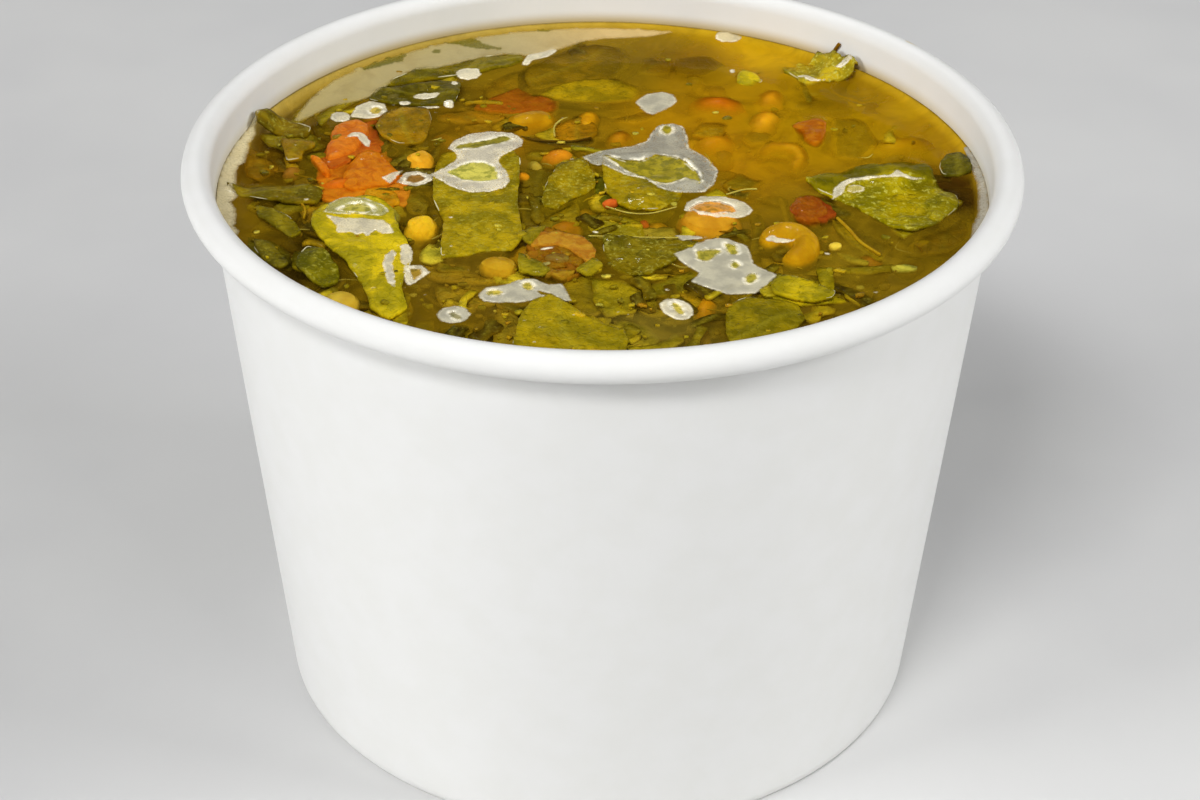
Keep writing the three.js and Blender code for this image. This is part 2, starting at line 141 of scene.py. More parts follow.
def object_from(name, parts, material):
    """One mesh object from several parts: points, faces and seven values a point.

    The values are a colour, one extra value, and three that tell the place on the part.
    """
    points, faces, values, start = [], [], [], 0
    for part_points, part_faces, part_values in parts:
        points.append(part_points)
        faces += [tuple(i + start for i in f) for f in part_faces]
        values.append(part_values)
        start += len(part_points)
    obj = mesh_object(name, np.concatenate(points), faces, material)
    values = np.concatenate(values).astype(np.float32)
    tone = obj.data.color_attributes.new("tone", "FLOAT_COLOR", "POINT")
    tone.data.foreach_set("color", values[:, :4].ravel())
    place = obj.data.attributes.new("place", "FLOAT_VECTOR", "POINT")
    place.data.foreach_set("vector", values[:, 4:7].ravel())
    return obj


def values_for(count, tone, extra=1.0, place=(0, 0, 0)):
    """The same tone, extra value and place for every point of a part."""
    place = np.broadcast_to(np.asarray(place, float), (count, 3))
    return np.hstack([np.tile([*tone[:3], extra], (count, 1)), place])


def revolve(profile, segments, wobble=None):
    """Points and faces of a closed outline in the (radius, height) plane turned about Z."""
    points, faces = [], []
    rows = len(profile)
    for step in range(segments):
        angle = 2 * math.pi * step / segments
        for radius, height in profile:
            r = radius if wobble is None else wobble(radius, height, angle)
            points.append((r * math.cos(angle), r * math.sin(angle), height))
    for step in range(segments):
        here, there = step * rows, ((step + 1) % segments) * rows
        for row in range(rows):
            after = (row + 1) % rows
            faces.append((here + row, there + row, there + after, here + after))
    return points, faces


def strip_profile(path, thickness):
    """The two sides of a strip of paper along a path, joined into one closed outline."""
    path = np.asarray(path, float)
    steps = np.diff(path, axis=0)
    steps /= np.linalg.norm(steps, axis=1)[:, None]
    into = np.vstack([steps[:1], steps])
    out = np.vstack([steps, steps[-1:]])
    middle = into + out
    middle /= np.linalg.norm(middle, axis=1)[:, None]
    half = np.arccos(np.clip((into * out).sum(1), -1, 1)) / 2
    reach = (thickness / 2 / np.cos(half))[:, None]
    side = np.stack([middle[:, 1], -middle[:, 0]], 1) * reach
    return np.concatenate([path + side, (path - side)[::-1]])


def smooth_loop(corners, spacing):
    """Evenly spaced points on a smooth closed curve through an outline's corners."""
    corners = np.asarray(corners, float)[:, :2]
    tension, steps = 0.16, 12
    after = np.roll(corners, -1, 0)
    leave = tension * (after - np.roll(corners, 1, 0))
    arrive = np.roll(leave, -1, 0)
    t = (np.arange(steps) / steps)[None, :, None]
    fine = (
        (2 * t**3 - 3 * t**2 + 1) * corners[:, None] + (3 * t**2 - 2 * t**3) * after[:, None]
        + (t**3 - 2 * t**2 + t) * leave[:, None] + (t**3 - t**2) * arrive[:, None]
    ).reshape(-1, 2)
    closed = np.vstack([fine, fine[:1]])
    length = np.concatenate([[0], np.cumsum(np.linalg.norm(np.diff(closed, axis=0), axis=1))])
    count = max(8, int(round(length[-1] / spacing)))
    at = np.linspace(0, length[-1], count, endpoint=False)
    return np.stack([np.interp(at, length, closed[:, k]) for k in (0, 1)], 1)


def inside(points, loop):
    """For each point, True if it lies inside a closed loop."""
    x, y = points[:, 0], points[:, 1]
    result = np.zeros(len(points), bool)
    for (x1, y1), (x2, y2) in zip(loop, np.roll(loop, -1, 0)):
        crosses = (y1 > y) != (y2 > y)
        rise = y2 - y1 if abs(y2 - y1) > 1e-12 else 1e-12
        result ^= crosses & (x < (x2 - x1) * (y - y1) / rise + x1)
    return result


def distance_to(points, loop):
    """For each point, how far it lies from a loop's nearest side."""
    best = np.full(len(points), 1e9)
    for a, b in zip(loop, np.roll(loop, -1, 0)):
        side = b - a
        t = np.clip(((points - a) @ side) / max(side @ side, 1e-12), 0, 1)
        best = np.minimum(best, np.linalg.norm(points - a - t[:, None] * side, axis=1))
    return best


def flat_mesh(loop, spacing, holes=()):
    """Even triangles over a loop, without its holes."""
    low, high = loop.min(0), loop.max(0)
    row_height, clear = spacing * 0.87, spacing * 0.5
    xs = np.arange(low[0], high[0], spacing)
    ys = np.arange(low[1], high[1], row_height)
    grid = np.array([(x + (j % 2) * spacing / 2, y) for j, y in enumerate(ys) for x in xs])
    keep = inside(grid, loop) & (distance_to(grid, loop) > clear)
    for hole in holes:
        keep &= distance_to(grid, hole) > clear
    rings = [loop, *holes]
    edges, start = [], 0
    for ring in rings:
        edges += [(start + i, start + (i + 1) % len(ring)) for i in range(len(ring))]
        start += len(ring)
    flat = [Vector(p) for p in np.concatenate([*rings, grid[keep]])]
    made = delaunay_2d_cdt(flat, edges, [], 1, 1e-5)
    points = np.array([tuple(p) for p in made[0]])
    faces = np.array([f for f in made[2] if len(f) == 3])
    middle = points[faces].mean(1)
    keep = inside(middle, loop)
    for hole in holes:
        keep &= ~inside(middle, hole)
    faces = faces[keep]
    used, faces = np.unique(faces, return_inverse=True)
    points, faces = points[used], faces.reshape(-1, 3)
    a, b, c = (points[faces[:, k]] for k in range(3))
    turn = (b[:, 0] - a[:, 0]) * (c[:, 1] - a[:, 1]) - (b[:, 1] - a[:, 1]) * (c[:, 0] - a[:, 0])
    faces[turn < 0] = faces[turn < 0][:, ::-1]
    return points, faces


def slab(points, faces, top, bottom):
    """A closed body between two heights over the same flat triangles."""
    count = len(points)
    upper = np.column_stack([points, top])
    lower = np.column_stack([points, bottom])
    border = set()
    for a, b, c in faces.tolist():
        for edge in ((a, b), (b, c), (c, a)):
            if (edge[1], edge[0]) in border:
                border.remove((edge[1], edge[0]))
            else:
                border.add(edge)
    body = [tuple(f) for f in faces.tolist()]
    body += [(a + count, c + count, b + count) for a, b, c in faces.tolist()]
    body += [(b, a, a + count, b + count) for a, b in sorted(border)]
    return np.vstack([upper, lower]), body


def bumps(points, size, seed, octaves=2):
    """Smooth random heights between about -1 and 1, with features of the given size."""
    shift = Vector((seed * 7.31, seed * -3.17, seed * 1.93))
    return np.array([
        noise.fractal(Vector((p[0], p[1], p[2] if len(p) > 2 else 0)) / size + shift, 1.0, 2.0, octaves)
        for p in points
    ])


def tube_part(path, radii, sides, tone, extra=1.0, place=(0, 0, 0)):
    """A round body along a path, one radius for each of its points, with blunt tips."""
    tip = 0.6
    path, radii = np.asarray(path, float), np.asarray(radii, float)
    along = np.gradient(path, axis=0)
    along /= np.linalg.norm(along, axis=1)[:, None]
    side = np.cross(along, (0.31, 0.17, 1.0))
    side /= np.linalg.norm(side, axis=1)[:, None]
    up = np.cross(side, along)
    angles = turns(sides)
    rings = [
        p + r * (np.outer(np.cos(angles), s) + np.outer(np.sin(angles), u))
        for p, r, s, u in zip(path, radii, side, up)
    ]
    start_tip = path[:1] - along[:1] * radii[0] * tip
    end_tip = path[-1:] + along[-1:] * radii[-1] * tip
    points = np.vstack([*rings, start_tip, end_tip])
    faces, last = [], (len(path) - 1) * sides
    start_cap, end_cap = len(path) * sides, len(path) * sides + 1
    for k in range(sides):
        after = (k + 1) % sides
        for row in range(len(path) - 1):
            a, b = row * sides, (row + 1) * sides
            faces.append((a + k, a + after, b + after, b + k))
        faces.append((after, k, start_cap))
        faces.append((last + k, last + after, end_cap))
    return points, faces, values_for(len(points), tone, extra, place)


def curve_through(points, count):
    """Points on a smooth open curve through a few given ones."""
    points = np.asarray(points, float)
    at = np.linspace(0, len(points) - 1, count)
    padded = np.vstack([2 * points[0] - points[1], points, 2 * points[-1] - points[-2]])
    index = np.minimum(at.astype(int), len(points) - 2)
    t = (at - index)[:, None]
    p0, p1, p2, p3 = (padded[index + k] for k in range(4))
    return 0.5 * (
        2 * p1 + (p2 - p0) * t
        + (2 * p0 - 5 * p1 + 4 * p2 - p3) * t**2
        + (3 * p1 - 3 * p2 + p3 - p0) * t**3
    )


# Materials.

class Shading:
    """A node material under construction."""

    def __init__(self, name):
        self.material = bpy.data.materials.new(name)
        self.material.use_nodes = True
        self.tree = self.material.node_tree
        self.tree.nodes.clear()
        self.out = self.node("ShaderNodeOutputMaterial")
        self.where = self.node("ShaderNodeTexCoord").outputs["Object"]

    def node(self, kind, **settings):
        made = self.tree.nodes.new(kind)
        for key, value in settings.items():
            setattr(made, key, value)
        return made

    def feed(self, socket, value):
        if isinstance(value, bpy.types.NodeSocket):
            self.tree.links.new(value, socket)
        else:
            socket.default_value = value

    def maths(self, operation, a, b=0.0, clamp=False):
        made = self.node("ShaderNodeMath", operation=operation, use_clamp=clamp)
        self.feed(made.inputs[0], a)
        self.feed(made.inputs[1], b)
        return made.outputs[0]

    def times(self, a, b):
        return self.maths("MULTIPLY", a, b)

    def plus(self, a, b):
        return self.maths("ADD", a, b)

    def minus(self, a, b):
        return self.maths("SUBTRACT", a, b)

    def span(self, value, low, high, to_low=0.0, to_high=1.0):
        """Low to high mapped smoothly onto another range."""
        made = self.node("ShaderNodeMapRange", interpolation_type="SMOOTHSTEP", clamp=True)
        for socket, given in zip(made.inputs, (value, low, high, to_low, to_high)):
            self.feed(socket, given)
        return made.outputs[0]

    def mix(self, factor, a, b, blend="MIX"):
        made = self.node("ShaderNodeMix", data_type="RGBA", blend_type=blend)
        self.feed(made.inputs[0], factor)
        self.feed(made.inputs[6], a)
        self.feed(made.inputs[7], b)
        return made.outputs[2]

    def tinted(self, colour, factors):
        """A colour multiplied by one factor, or by one each for red, green and blue."""
        return self.mix(1.0, colour, (*np.broadcast_to(factors, 3), 1), "MULTIPLY")

    def noise(self, size, detail=2.0, rough=0.5, warp=0.0):
        """Noise with features of the given size in millimetres."""
        made = self.node("ShaderNodeTexNoise")
        self.feed(made.inputs["Vector"], self.where)
        settings = {"Scale": 1 / (size * MM), "Detail": detail, "Roughness": rough, "Distortion": warp}
        for key, value in settings.items():
            made.inputs[key].default_value = value
        return made.outputs["Fac"]

    def cells(self, size):
        """How far the point lies from the edges of random cells of the given size in millimetres."""
        made = self.node("ShaderNodeTexVoronoi", feature="DISTANCE_TO_EDGE")
        self.feed(made.inputs["Vector"], self.where)
        made.inputs["Scale"].default_value = 1 / (size * MM)
        return made.outputs["Distance"]

    def bump(self, height, depth):
        """A bump of the given depth in millimetres."""
        made = self.node("ShaderNodeBump")
        made.inputs["Distance"].default_value = depth * MM
        self.feed(made.inputs["Height"], height)
        return made.outputs["Normal"]

    def node_fed(self, kind, value, **settings):
        made = self.node(kind, **settings)
        self.feed(made.inputs[0], value)
        return made

    def parts_of(self, vector):
        return self.node_fed("ShaderNodeSeparateXYZ", vector).outputs

    def along(self, axis):
        """The point's place along an axis, in millimetres."""
        return self.times(self.parts_of(self.where)[axis], 1 / MM)

    def distance(self, centre):
        """How far the point lies from a place, in millimetres; a flat place ignores the height."""
        flat = (1, 1, 0) if len(centre) == 2 else (1, 1, 1)
        seen = self.node_fed("ShaderNodeVectorMath", self.where, operation="MULTIPLY")
        seen.inputs[1].default_value = flat
        made = self.node_fed("ShaderNodeVectorMath", seen.outputs[0], operation="DISTANCE")
        made.inputs[1].default_value = [c * MM for c in centre] + [0] * (3 - len(centre))
        return self.times(made.outputs["Value"], 1 / MM)

    def attribute(self, name):
        return self.node("ShaderNodeAttribute", attribute_name=name).outputs

    def place(self):
        """The three values that tell the point's place on its part."""
        return self.parts_of(self.attribute("place")["Vector"])

    def shader(self, kind, **values):
        """The output of a new shader node whose named sockets are set or linked."""
        made = self.node("ShaderNode" + kind)
        for key, value in values.items():
            self.feed(made.inputs[key.replace("_", " ")], value)
        return made.outputs[0]

    def shared(self, share, first, second):
        """Two shaders mixed by the share of the second."""
        made = self.node("ShaderNodeMixShader")
        for socket, value in zip(made.inputs, (share, first, second)):
            self.feed(socket, value)
        return made.outputs[0]

    def finished(self, shader):
        """The material with a shader as its surface."""
        self.tree.links.new(shader, self.out.inputs["Surface"])
        return self.material

    def surface(self, **values):
        """The material with a Principled surface."""
        return self.finished(self.shader("BsdfPrincipled", **values))


# The broth's colour and where it turns more golden, browner or darker: x, y, reach, colour.
BROTH_OLIVE = srgb(124, 98, 12)
BROTH_SPOTS = [
    (16, 14, 24, srgb(162, 118, 8)),
    (36, 22, 26, srgb(162, 124, 6)),
    (22, 40, 15, srgb(186, 146, 8)),
    (40, 22, 7, srgb(176, 138, 6)),
    (-12, 18, 12, srgb(144, 106, 12)),
    (0, -2, 14, srgb(136, 112, 10)),
    (-14, -22, 12, srgb(132, 104, 20)),
    (-36, -20, 10, srgb(66, 50, 6)),
    # Painted shade: darker broth in the shaded gap between leaves at the left.
    (-40, 12, 8, srgb(88, 64, 4)),
    (12, 36, 8, srgb(122, 90, 4)),
    (30, 26, 8, srgb(138, 106, 4)),
    (-42, 4, 9, srgb(118, 84, 6)),
    # Painted shade: darker broth in the shaded gap between leaves at the right wall.
    (42, 0, 7, srgb(70, 48, 8)),
    (28, -20, 13, srgb(138, 112, 18)),
    (4, -36, 12, srgb(132, 114, 36)),
]

# How much brighter the broth is painted in its depth and in its haze, as painted light scattered in the
# cloudy broth, and the share of haze at the left and right.
DEPTH_GAIN = 1.8
FOG_GAIN = 1.4
VEIL = (0.43, 0.66)

# Where the broth turns golden and free of leaves: the direction, and the span along it.
GOLDEN_HEADING = (0.62, 0.78)
GOLDEN_SPAN = (-2, 18)

# The wet look of every piece, and the weight of its clear coat above the level.
WET = {"Roughness": 0.45, "IOR": 1.3, "Specular_IOR_Level": 0.1, "Coat_Roughness": 0.05, "Coat_IOR": 1.3}
WET_COAT = 0.17


def broth_colour(shade):
    """The broth's colour, golden in the open right half and olive brown between the leaves, with painted
    shade in two gaps and painted light along the wall.
    """
    colour = BROTH_OLIVE
    wander = shade.times(shade.minus(shade.noise(9), 0.5), 14)
    for x, y, reach, tint in BROTH_SPOTS:
        away = shade.plus(shade.distance((x, y)), wander)
        colour = shade.mix(shade.span(away, reach * 0.25, reach, 1.0, 0.0), colour, tint)
    # Painted light: a brighter gold along the wall, for light coming through the thin paper and lightening
    # the shade in the slit at the wall.
    shore = shade.span(shade.distance((0, 0)), SHORE - 1.8, SHORE - 0.1, 0.0, 0.8)
    right = shade.span(shade.along(0), -20, 16)
    return shade.mix(shore, colour, shade.mix(right, srgb(186, 160, 76), srgb(196, 158, 28)))


def wet_coat(shade):
    """How much of a clear wet coat a piece has: none below the level."""
    return shade.span(shade.along(2), LEVEL - 0.4, LEVEL, 0.0, WET_COAT)


def fogged(shade, colour, near_edge):
    """The colour as it shows through the broth above it, fading out at the edges of sunk pieces."""
    height = shade.along(2)
    depth = shade.maths("MAXIMUM", shade.minus(LEVEL - 0.2, height), 0.0)
    clear = shade.maths("EXPONENT", shade.maths("DIVIDE", depth, -FOG_LENGTH))
    deep = shade.span(height, LEVEL - 0.9, LEVEL - 0.2, 1.0, 0.0)
    kept = shade.minus(1.0, shade.times(near_edge, deep))
    # The haze is brightened by FOG_GAIN: painted light scattered in the broth.
    haze = shade.tinted(broth_colour(shade), FOG_GAIN)
    return shade.mix(shade.times(clear, kept), haze, colour)


def steepness(shade):
    """How steep a rounded piece's surface is, from 0 on top to 0.8 at its sides."""
    upright = shade.parts_of(shade.node("ShaderNodeTexCoord").outputs["Normal"])[2]
    return shade.span(upright, 0.0, 0.65, 0.8, 0.0)


def paper_material():
    """White board with a stain of soup on the rim, and a warm darker band just above the level inside: a damp
    stain with painted shade and painted soup-coloured light.
    """
    shade = Shading("white_paper")
    stain_place = (39.35, 28.6, 70.8)
    mottle = shade.noise(5, 3.0)
    fibre = shade.noise(0.35, 4.0, 0.65)
    base = shade.mix(shade.span(mottle, 0.3, 0.7), srgb(239, 239, 236), srgb(241, 241, 239))
    away = shade.plus(shade.distance(stain_place), shade.times(shade.noise(0.9), 0.9))
    colour = shade.mix(shade.span(away, 1.0, 1.9, 0.55, 0.0), base, srgb(222, 196, 120))
    # Painted shade and painted soup-coloured light, with a damp stain: a warm darker band on the inside of
    # the wall just above the level, stronger at the back.
    up, back = shade.along(2), shade.span(shade.along(1), 12, 34)
    below, above = shade.span(up, LEVEL - 0.5, LEVEL), shade.span(up, LEVEL + 0.3, LEVEL + 2.4, 1.0, 0.0)
    damp_and_shade = shade.times(shade.times(below, above), shade.plus(shade.times(back, 0.4), 0.5))
    within = shade.span(shade.distance((0, 0)), 45.5, 45.62, 1.0, 0.0)
    stain_and_shade_tint = shade.mix(back, srgb(198, 184, 138), srgb(182, 156, 72))
    colour = shade.mix(shade.times(damp_and_shade, within), colour, stain_and_shade_tint)
    height = shade.plus(shade.times(mottle, 0.5), shade.times(fibre, 0.25))
    return shade.surface(
        Base_Color=colour, Roughness=shade.span(fibre, 0.3, 0.7, 0.46, 0.58), Normal=shade.bump(height, 0.02),
        IOR=1.45,
    )


def base_material():
    """Slightly greyer board for the base."""
    shade = Shading("base_paper")
    fibre = shade.noise(0.4, 4.0, 0.65)
    base = shade.mix(shade.span(shade.noise(9), 0.3, 0.7), srgb(228, 227, 222), srgb(236, 235, 231))
    rough = shade.span(fibre, 0.3, 0.7, 0.55, 0.7)
    return shade.surface(Base_Color=base, Roughness=rough, Normal=shade.bump(fibre, 0.04))


def core_material():
    """The cloudy depth of the soup: broth with soft dark and bright shapes in it."""
    shade = Shading("soup_depth")
    broth = broth_colour(shade)
    # Painted light: the depth is brightened by DEPTH_GAIN to stand in for light scattered through the broth.
    low = shade.tinted(broth, 0.72 * DEPTH_GAIN)
    high = shade.tinted(broth, 1.1 * DEPTH_GAIN)
    cloud = shade.span(shade.noise(5, 3.0, 0.5, 0.5), 0.36, 0.62)
    return shade.surface(Base_Color=shade.mix(cloud, low, high), Roughness=0.6, Specular_IOR_Level=0.1)


def leaf_material():
    """Cooked spinach: each leaf's own green with mottling, fine cells, paler veins, and pale speckle that is
    partly grain and partly painted wet glints.
    """
    shade = Shading("spinach")
    tone = shade.attribute("tone")
    own, speckle = tone["Color"], tone["Alpha"]
    edge, _, vein = shade.place()
    near_edge = shade.span(edge, 0.0, 0.7, 0.8, 0.0)
    light = shade.tinted(own, (1.84, 1.76, 1.2))
    dark = shade.tinted(own, (0.86, 0.9, 0.6))
    colour = shade.mix(shade.span(shade.noise(3.2, 3.0, 0.55, 0.4), 0.34, 0.66), dark, light)
    fine = shade.span(shade.cells(1.15), 0.0, 0.09, 1.0, 0.0)
    veins = shade.maths("MAXIMUM", vein, shade.times(fine, 0.25), clamp=True)
    colour = shade.mix(shade.times(veins, 0.3), colour, srgb(176, 162, 40))
    # Pale speckle: partly the leaf's grain, partly painted glints of the wet surface.
    grain = shade.times(shade.span(shade.noise(0.5, 3.0, 0.6), 0.54, 0.66), speckle)
    colour = shade.mix(grain, colour, srgb(204, 196, 84))
    deep = shade.tinted(own, (0.5, 0.54, 0.3))
    colour = shade.mix(shade.span(shade.noise(0.9, 4.0, 0.65, 0.6), 0.34, 0.48, 0.5, 0.0), colour, deep)
    relief = shade.minus(shade.noise(0.8, 3.0), shade.times(fine, 0.3))
    return shade.surface(
        Base_Color=fogged(shade, colour, near_edge), Normal=shade.bump(relief, 0.14),
        Coat_Weight=wet_coat(shade), Coat_Normal=shade.bump(shade.noise(1.3), 0.14), **WET,
    )


def flesh_material():
    """Soft cooked tomato, carrot, pepper or onion: own colour, fibrous, with paler and deeper patches."""
    shade = Shading("soft_flesh")
    own = shade.attribute("tone")["Color"]
    light = shade.tinted(own, (1.4, 1.6, 1.6))
    dark = shade.tinted(own, (1.05, 0.9, 0.8))
    patch = shade.noise(1.6, 4.0, 0.6, 0.8)
    colour = shade.mix(shade.span(patch, 0.35, 0.65), dark, light)
    thread = shade.noise(0.45, 3.0, 0.7)
    colour = shade.mix(shade.span(thread, 0.58, 0.76, 0.0, 0.25), colour, srgb(232, 160, 70))
    relief = shade.plus(patch, shade.times(thread, 0.5))
    return shade.surface(
        Base_Color=fogged(shade, colour, steepness(shade)), Normal=shade.bump(relief, 0.16),
        Subsurface_Weight=0.12, Subsurface_Radius=(1.0, 0.45, 0.15), Subsurface_Scale=1.2 * MM,
        Coat_Weight=wet_coat(shade), **WET,
    )


def bean_material():
    """Wet cooked beans and lentils: each one's own colour, slightly cloudy, with fine wrinkles."""
    shade = Shading("beans")
    own = shade.attribute("tone")["Color"]
    light = shade.tinted(own, (1.35, 1.4, 1.4))
    dark = shade.tinted(own, (1.05, 1.0, 0.9))
    colour = shade.mix(shade.span(shade.noise(2.4, 2.0, 0.5, 0.3), 0.34, 0.66), dark, light)
    freckle = shade.span(shade.noise(0.35), 0.62, 0.74, 0.0, 0.3)
    colour = shade.mix(freckle, colour, dark)
    return shade.surface(
        Base_Color=fogged(shade, colour, steepness(shade)),
        Normal=shade.bump(shade.noise(0.9, 2.0, 0.5, 1.2), 0.08),
        Subsurface_Weight=0.15, Subsurface_Radius=(1.0, 0.6, 0.2), Subsurface_Scale=1.0 * MM,
        Coat_Weight=wet_coat(shade), **WET,
    )


def liquid_material():
    """The top of the broth: a thin cloudy veil that lets the pieces below show and mirrors what is above."""
    shade = Shading("clear_broth")
    ripple = shade.bump(shade.noise(3.0), 0.015)
    clear = shade.shader("BsdfTransparent", Color=(1.0, 0.98, 0.88, 1.0))
    # The cloudy part is brightened by FOG_GAIN: painted light scattered in the broth.
    cloudy = shade.shader("BsdfDiffuse", Color=shade.tinted(broth_colour(shade), FOG_GAIN))
    heading = shade.node_fed("ShaderNodeVectorMath", shade.where, operation="DOT_PRODUCT")
    heading.inputs[1].default_value = (GOLDEN_HEADING[0] / MM, GOLDEN_HEADING[1] / MM, 0)
    golden_share = shade.span(heading.outputs["Value"], *GOLDEN_SPAN, *VEIL)
    wisps = shade.span(shade.noise(5, 4.0, 0.6, 0.8), 0.3, 0.7, 0.75, 1.2)
    below = shade.place()[2]
    share = shade.times(golden_share, shade.times(wisps, shade.span(below, 0.1, 2.2)))
    gloss = shade.shader("BsdfGlossy", Roughness=0.05, Normal=ripple)
    fresnel = shade.shader("Fresnel", IOR=1.06, Normal=ripple)
    return shade.finished(shade.shared(fresnel, shade.shared(share, clear, cloudy), gloss))


def reflection_material():
    """Painted reflections and glints on the wet surface, with froth specks: pale and see-through, grainy,
    with painted highlights along broken edges.

    How solid a piece is also tells its kind, from the band at the wall at 0.8 to the filled holes at 0.98.
    """
    shade = Shading("froth_and_painted_reflection")
    tone = shade.attribute("tone")
    own, grain = tone["Color"], tone["Alpha"]
    outer, inner, body = shade.place()
    shadow = shade.tinted(own, (0.74, 0.74, 0.76))
    patchy = shade.span(shade.noise(1.8), 0.35, 0.65, 1.0, 0.0)
    mottle = shade.times(patchy, shade.span(body, 0.78, 0.9))
    colour = shade.mix(mottle, own, shadow)
    leafy = shade.tinted(own, (0.42, 0.46, 0.3))
    spotty = shade.span(shade.noise(1.0, 3.0, 0.6), 0.38, 0.54, 0.85, 0.0)
    blots = shade.times(spotty, shade.span(body, 0.96, 0.98))
    colour = shade.mix(blots, colour, leafy)
    # Painted highlights: bright broken edges round the holes and a bright rim near the outer edge.
    broken = shade.span(shade.noise(1.1), 0.4, 0.58)
    rim_highlight = shade.times(shade.span(outer, 0.2, 0.5, 0.6, 0.0), shade.span(body, 0.84, 0.9))
    edging = shade.maths("MAXIMUM", shade.span(inner, 0.25, 0.75, 1.0, 0.0), rim_highlight)
    white = shade.times(edging, broken)
    colour = shade.mix(white, colour, srgb(252, 246, 222))
    speck = shade.span(shade.noise(0.26), 0.48, 0.6)
    near = shade.span(outer, 0.2, 2.2, 1.0, 0.35)
    holes = shade.times(shade.times(speck, near), grain)
    softness = shade.span(body, 0.78, 0.94, 0.7, 0.22)
    fray = shade.times(shade.minus(shade.noise(0.5), 0.45), 0.5)
    rim = shade.plus(shade.maths("MINIMUM", outer, inner), fray)
    edge = shade.maths("DIVIDE", rim, softness, clamp=True)
    solid = shade.minus(1.0, shade.times(holes, 0.75))
    thin = shade.span(body, 0.8, 0.84, 1.0, 0.0)
    wisp = shade.span(shade.noise(6, 3.0, 0.5, 0.6), 0.32, 0.6, 0.32, 0.0)
    cover = shade.times(shade.minus(solid, shade.times(wisp, thin)), body)
    return shade.surface(
        Base_Color=colour, Alpha=shade.times(cover, edge), Normal=shade.bump(shade.noise(0.5), 0.04),
        Roughness=0.45, Specular_IOR_Level=0.3, Coat_Weight=0.3, Coat_Roughness=0.15,
    )


PAPER_LOOK = paper_material()
BASE_LOOK = base_material()
CORE_LOOK = core_material()
LEAF_LOOK = leaf_material()
BEAN_LOOK = bean_material()
FLESH_LOOK = flesh_material()
LIQUID_LOOK = liquid_material()
REFLECTION_LOOK = reflection_material()


# Cup.

def cup_wall():
    """The wall: folded hem, cone with a side seam at the back, and rim rolled outwards."""
    fold_width, fold_height, hem_middle = 0.25, 0.65, 3.2
    neck = CURL_CENTRE[1] - 3.2
    foot = PAPER / 2 + MARGIN / 2
    path = [
        (wall_middle(HEM_HEIGHT) - HEM_SPACING, HEM_HEIGHT),
        (wall_middle(hem_middle) - HEM_SPACING, hem_middle),
        (wall_middle(fold_height) - HEM_SPACING, fold_height),
        (wall_middle(0) - HEM_SPACING + fold_width, foot),
        (wall_middle(0) - fold_width, foot),
        (wall_middle(fold_height), fold_height),
    ]
    path += [(wall_middle(z), z) for z in np.linspace(1.6, neck, 16)]
    curl_middle = CURL_RADIUS - PAPER / 2 - MARGIN / 2
    for turn in np.radians(np.arange(0, 276, 12)):
        path.append((
            CURL_CENTRE[0] - curl_middle * math.cos(turn),
            CURL_CENTRE[1] + curl_middle * math.sin(turn),
        ))
    seam_middle, seam_half, seam_rise = math.pi / 2, 0.095, 0.28

    def wobble(radius, height, angle):
        wave = WAVE * (math.sin(2 * angle + 0.6) + 0.5 * math.sin(5 * angle + height / 14) - 1.5) / 3
        lapped = abs(angle - seam_middle) < seam_half and radius > wall_middle(height) and height < neck
        return radius + wave + (seam_rise if lapped else 0.0)

    points, faces = revolve(strip_profile(path, PAPER), 288, wobble)
    return mesh_object("paper_wall", points, faces, PAPER_LOOK)


def cup_base():
    """The recessed base with its edge turned down inside the hem."""
    bend = 0.9
    height = BASE_HIGH[2] - BASE_PAPER / 2
    flange = wall_middle(height) - HEM_SPACING / 2
    foot = BASE_LOW[2] + MARGIN
    path = [(0.02, height)] + [(r, height) for r in np.linspace(4, flange - bend, 9)]
    for turn in np.radians((15, 30, 45, 60, 75)):
        path.append((flange - bend + bend * math.sin(turn), height - bend + bend * math.cos(turn)))
    path += [(wall_middle(z) - HEM_SPACING / 2, z) for z in np.linspace(height - bend, foot, 4)]
    points, faces = revolve(strip_profile(path, BASE_PAPER), 192)
    return mesh_object("paper_base", points, faces, BASE_LOOK)


# Leaves at the surface, refined from the solids of the frame.

def node_top(node):
    """The top face of a flat CAD piece: its points and its outline, in millimetres."""
    made = bmesh.new()
    made.from_mesh(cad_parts[node].data)
    bmesh.ops.remove_doubles(made, verts=made.verts, dist=1e-6)
    made.normal_update()
    top = {f.index for f in made.faces if f.normal.z > 0.3}
    points = {v for f in made.faces if f.index in top for v in f.verts}
    follow = {}
    for face in made.faces:
        if face.index not in top:
            continue
        for loop in face.loops:
            if sum(f.index in top for f in loop.edge.link_faces) == 1:
                follow[loop.vert.index] = loop.link_loop_next.vert.index
    order = [next(iter(follow))]
    while follow[order[-1]] != order[0]:
        order.append(follow[order[-1]])
    made.verts.ensure_lookup_table()
    outline = np.array([made.verts[i].co for i in order]) / MM
    cloud = np.array(sorted(tuple(v.co) for v in points)) / MM
    made.free()
    return cloud, outline


def smooth_height(cloud):
    """A smooth surface through a set of points: thin-plate splines."""
    xy, z = cloud[:, :2], cloud[:, 2]
    middle = xy.mean(0)

    def kernel(a, b):
        d2 = ((a[:, None] - b[None]) ** 2).sum(2)
        return 0.5 * d2 * np.log(np.maximum(d2, 1e-9))

    def plane(p):
        return np.column_stack([np.ones(len(p)), p - middle])

    size = len(xy)
    matrix = np.zeros((size + 3, size + 3))
    matrix[:size, :size] = kernel(xy, xy) + 0.02 * np.eye(size)
    matrix[:size, size:] = plane(xy)
    matrix[size:, :size] = plane(xy).T
    weights = np.linalg.solve(matrix, np.concatenate([z, np.zeros(3)]))
    return lambda p: kernel(p, xy) @ weights[:size] + plane(p) @ weights[size:]


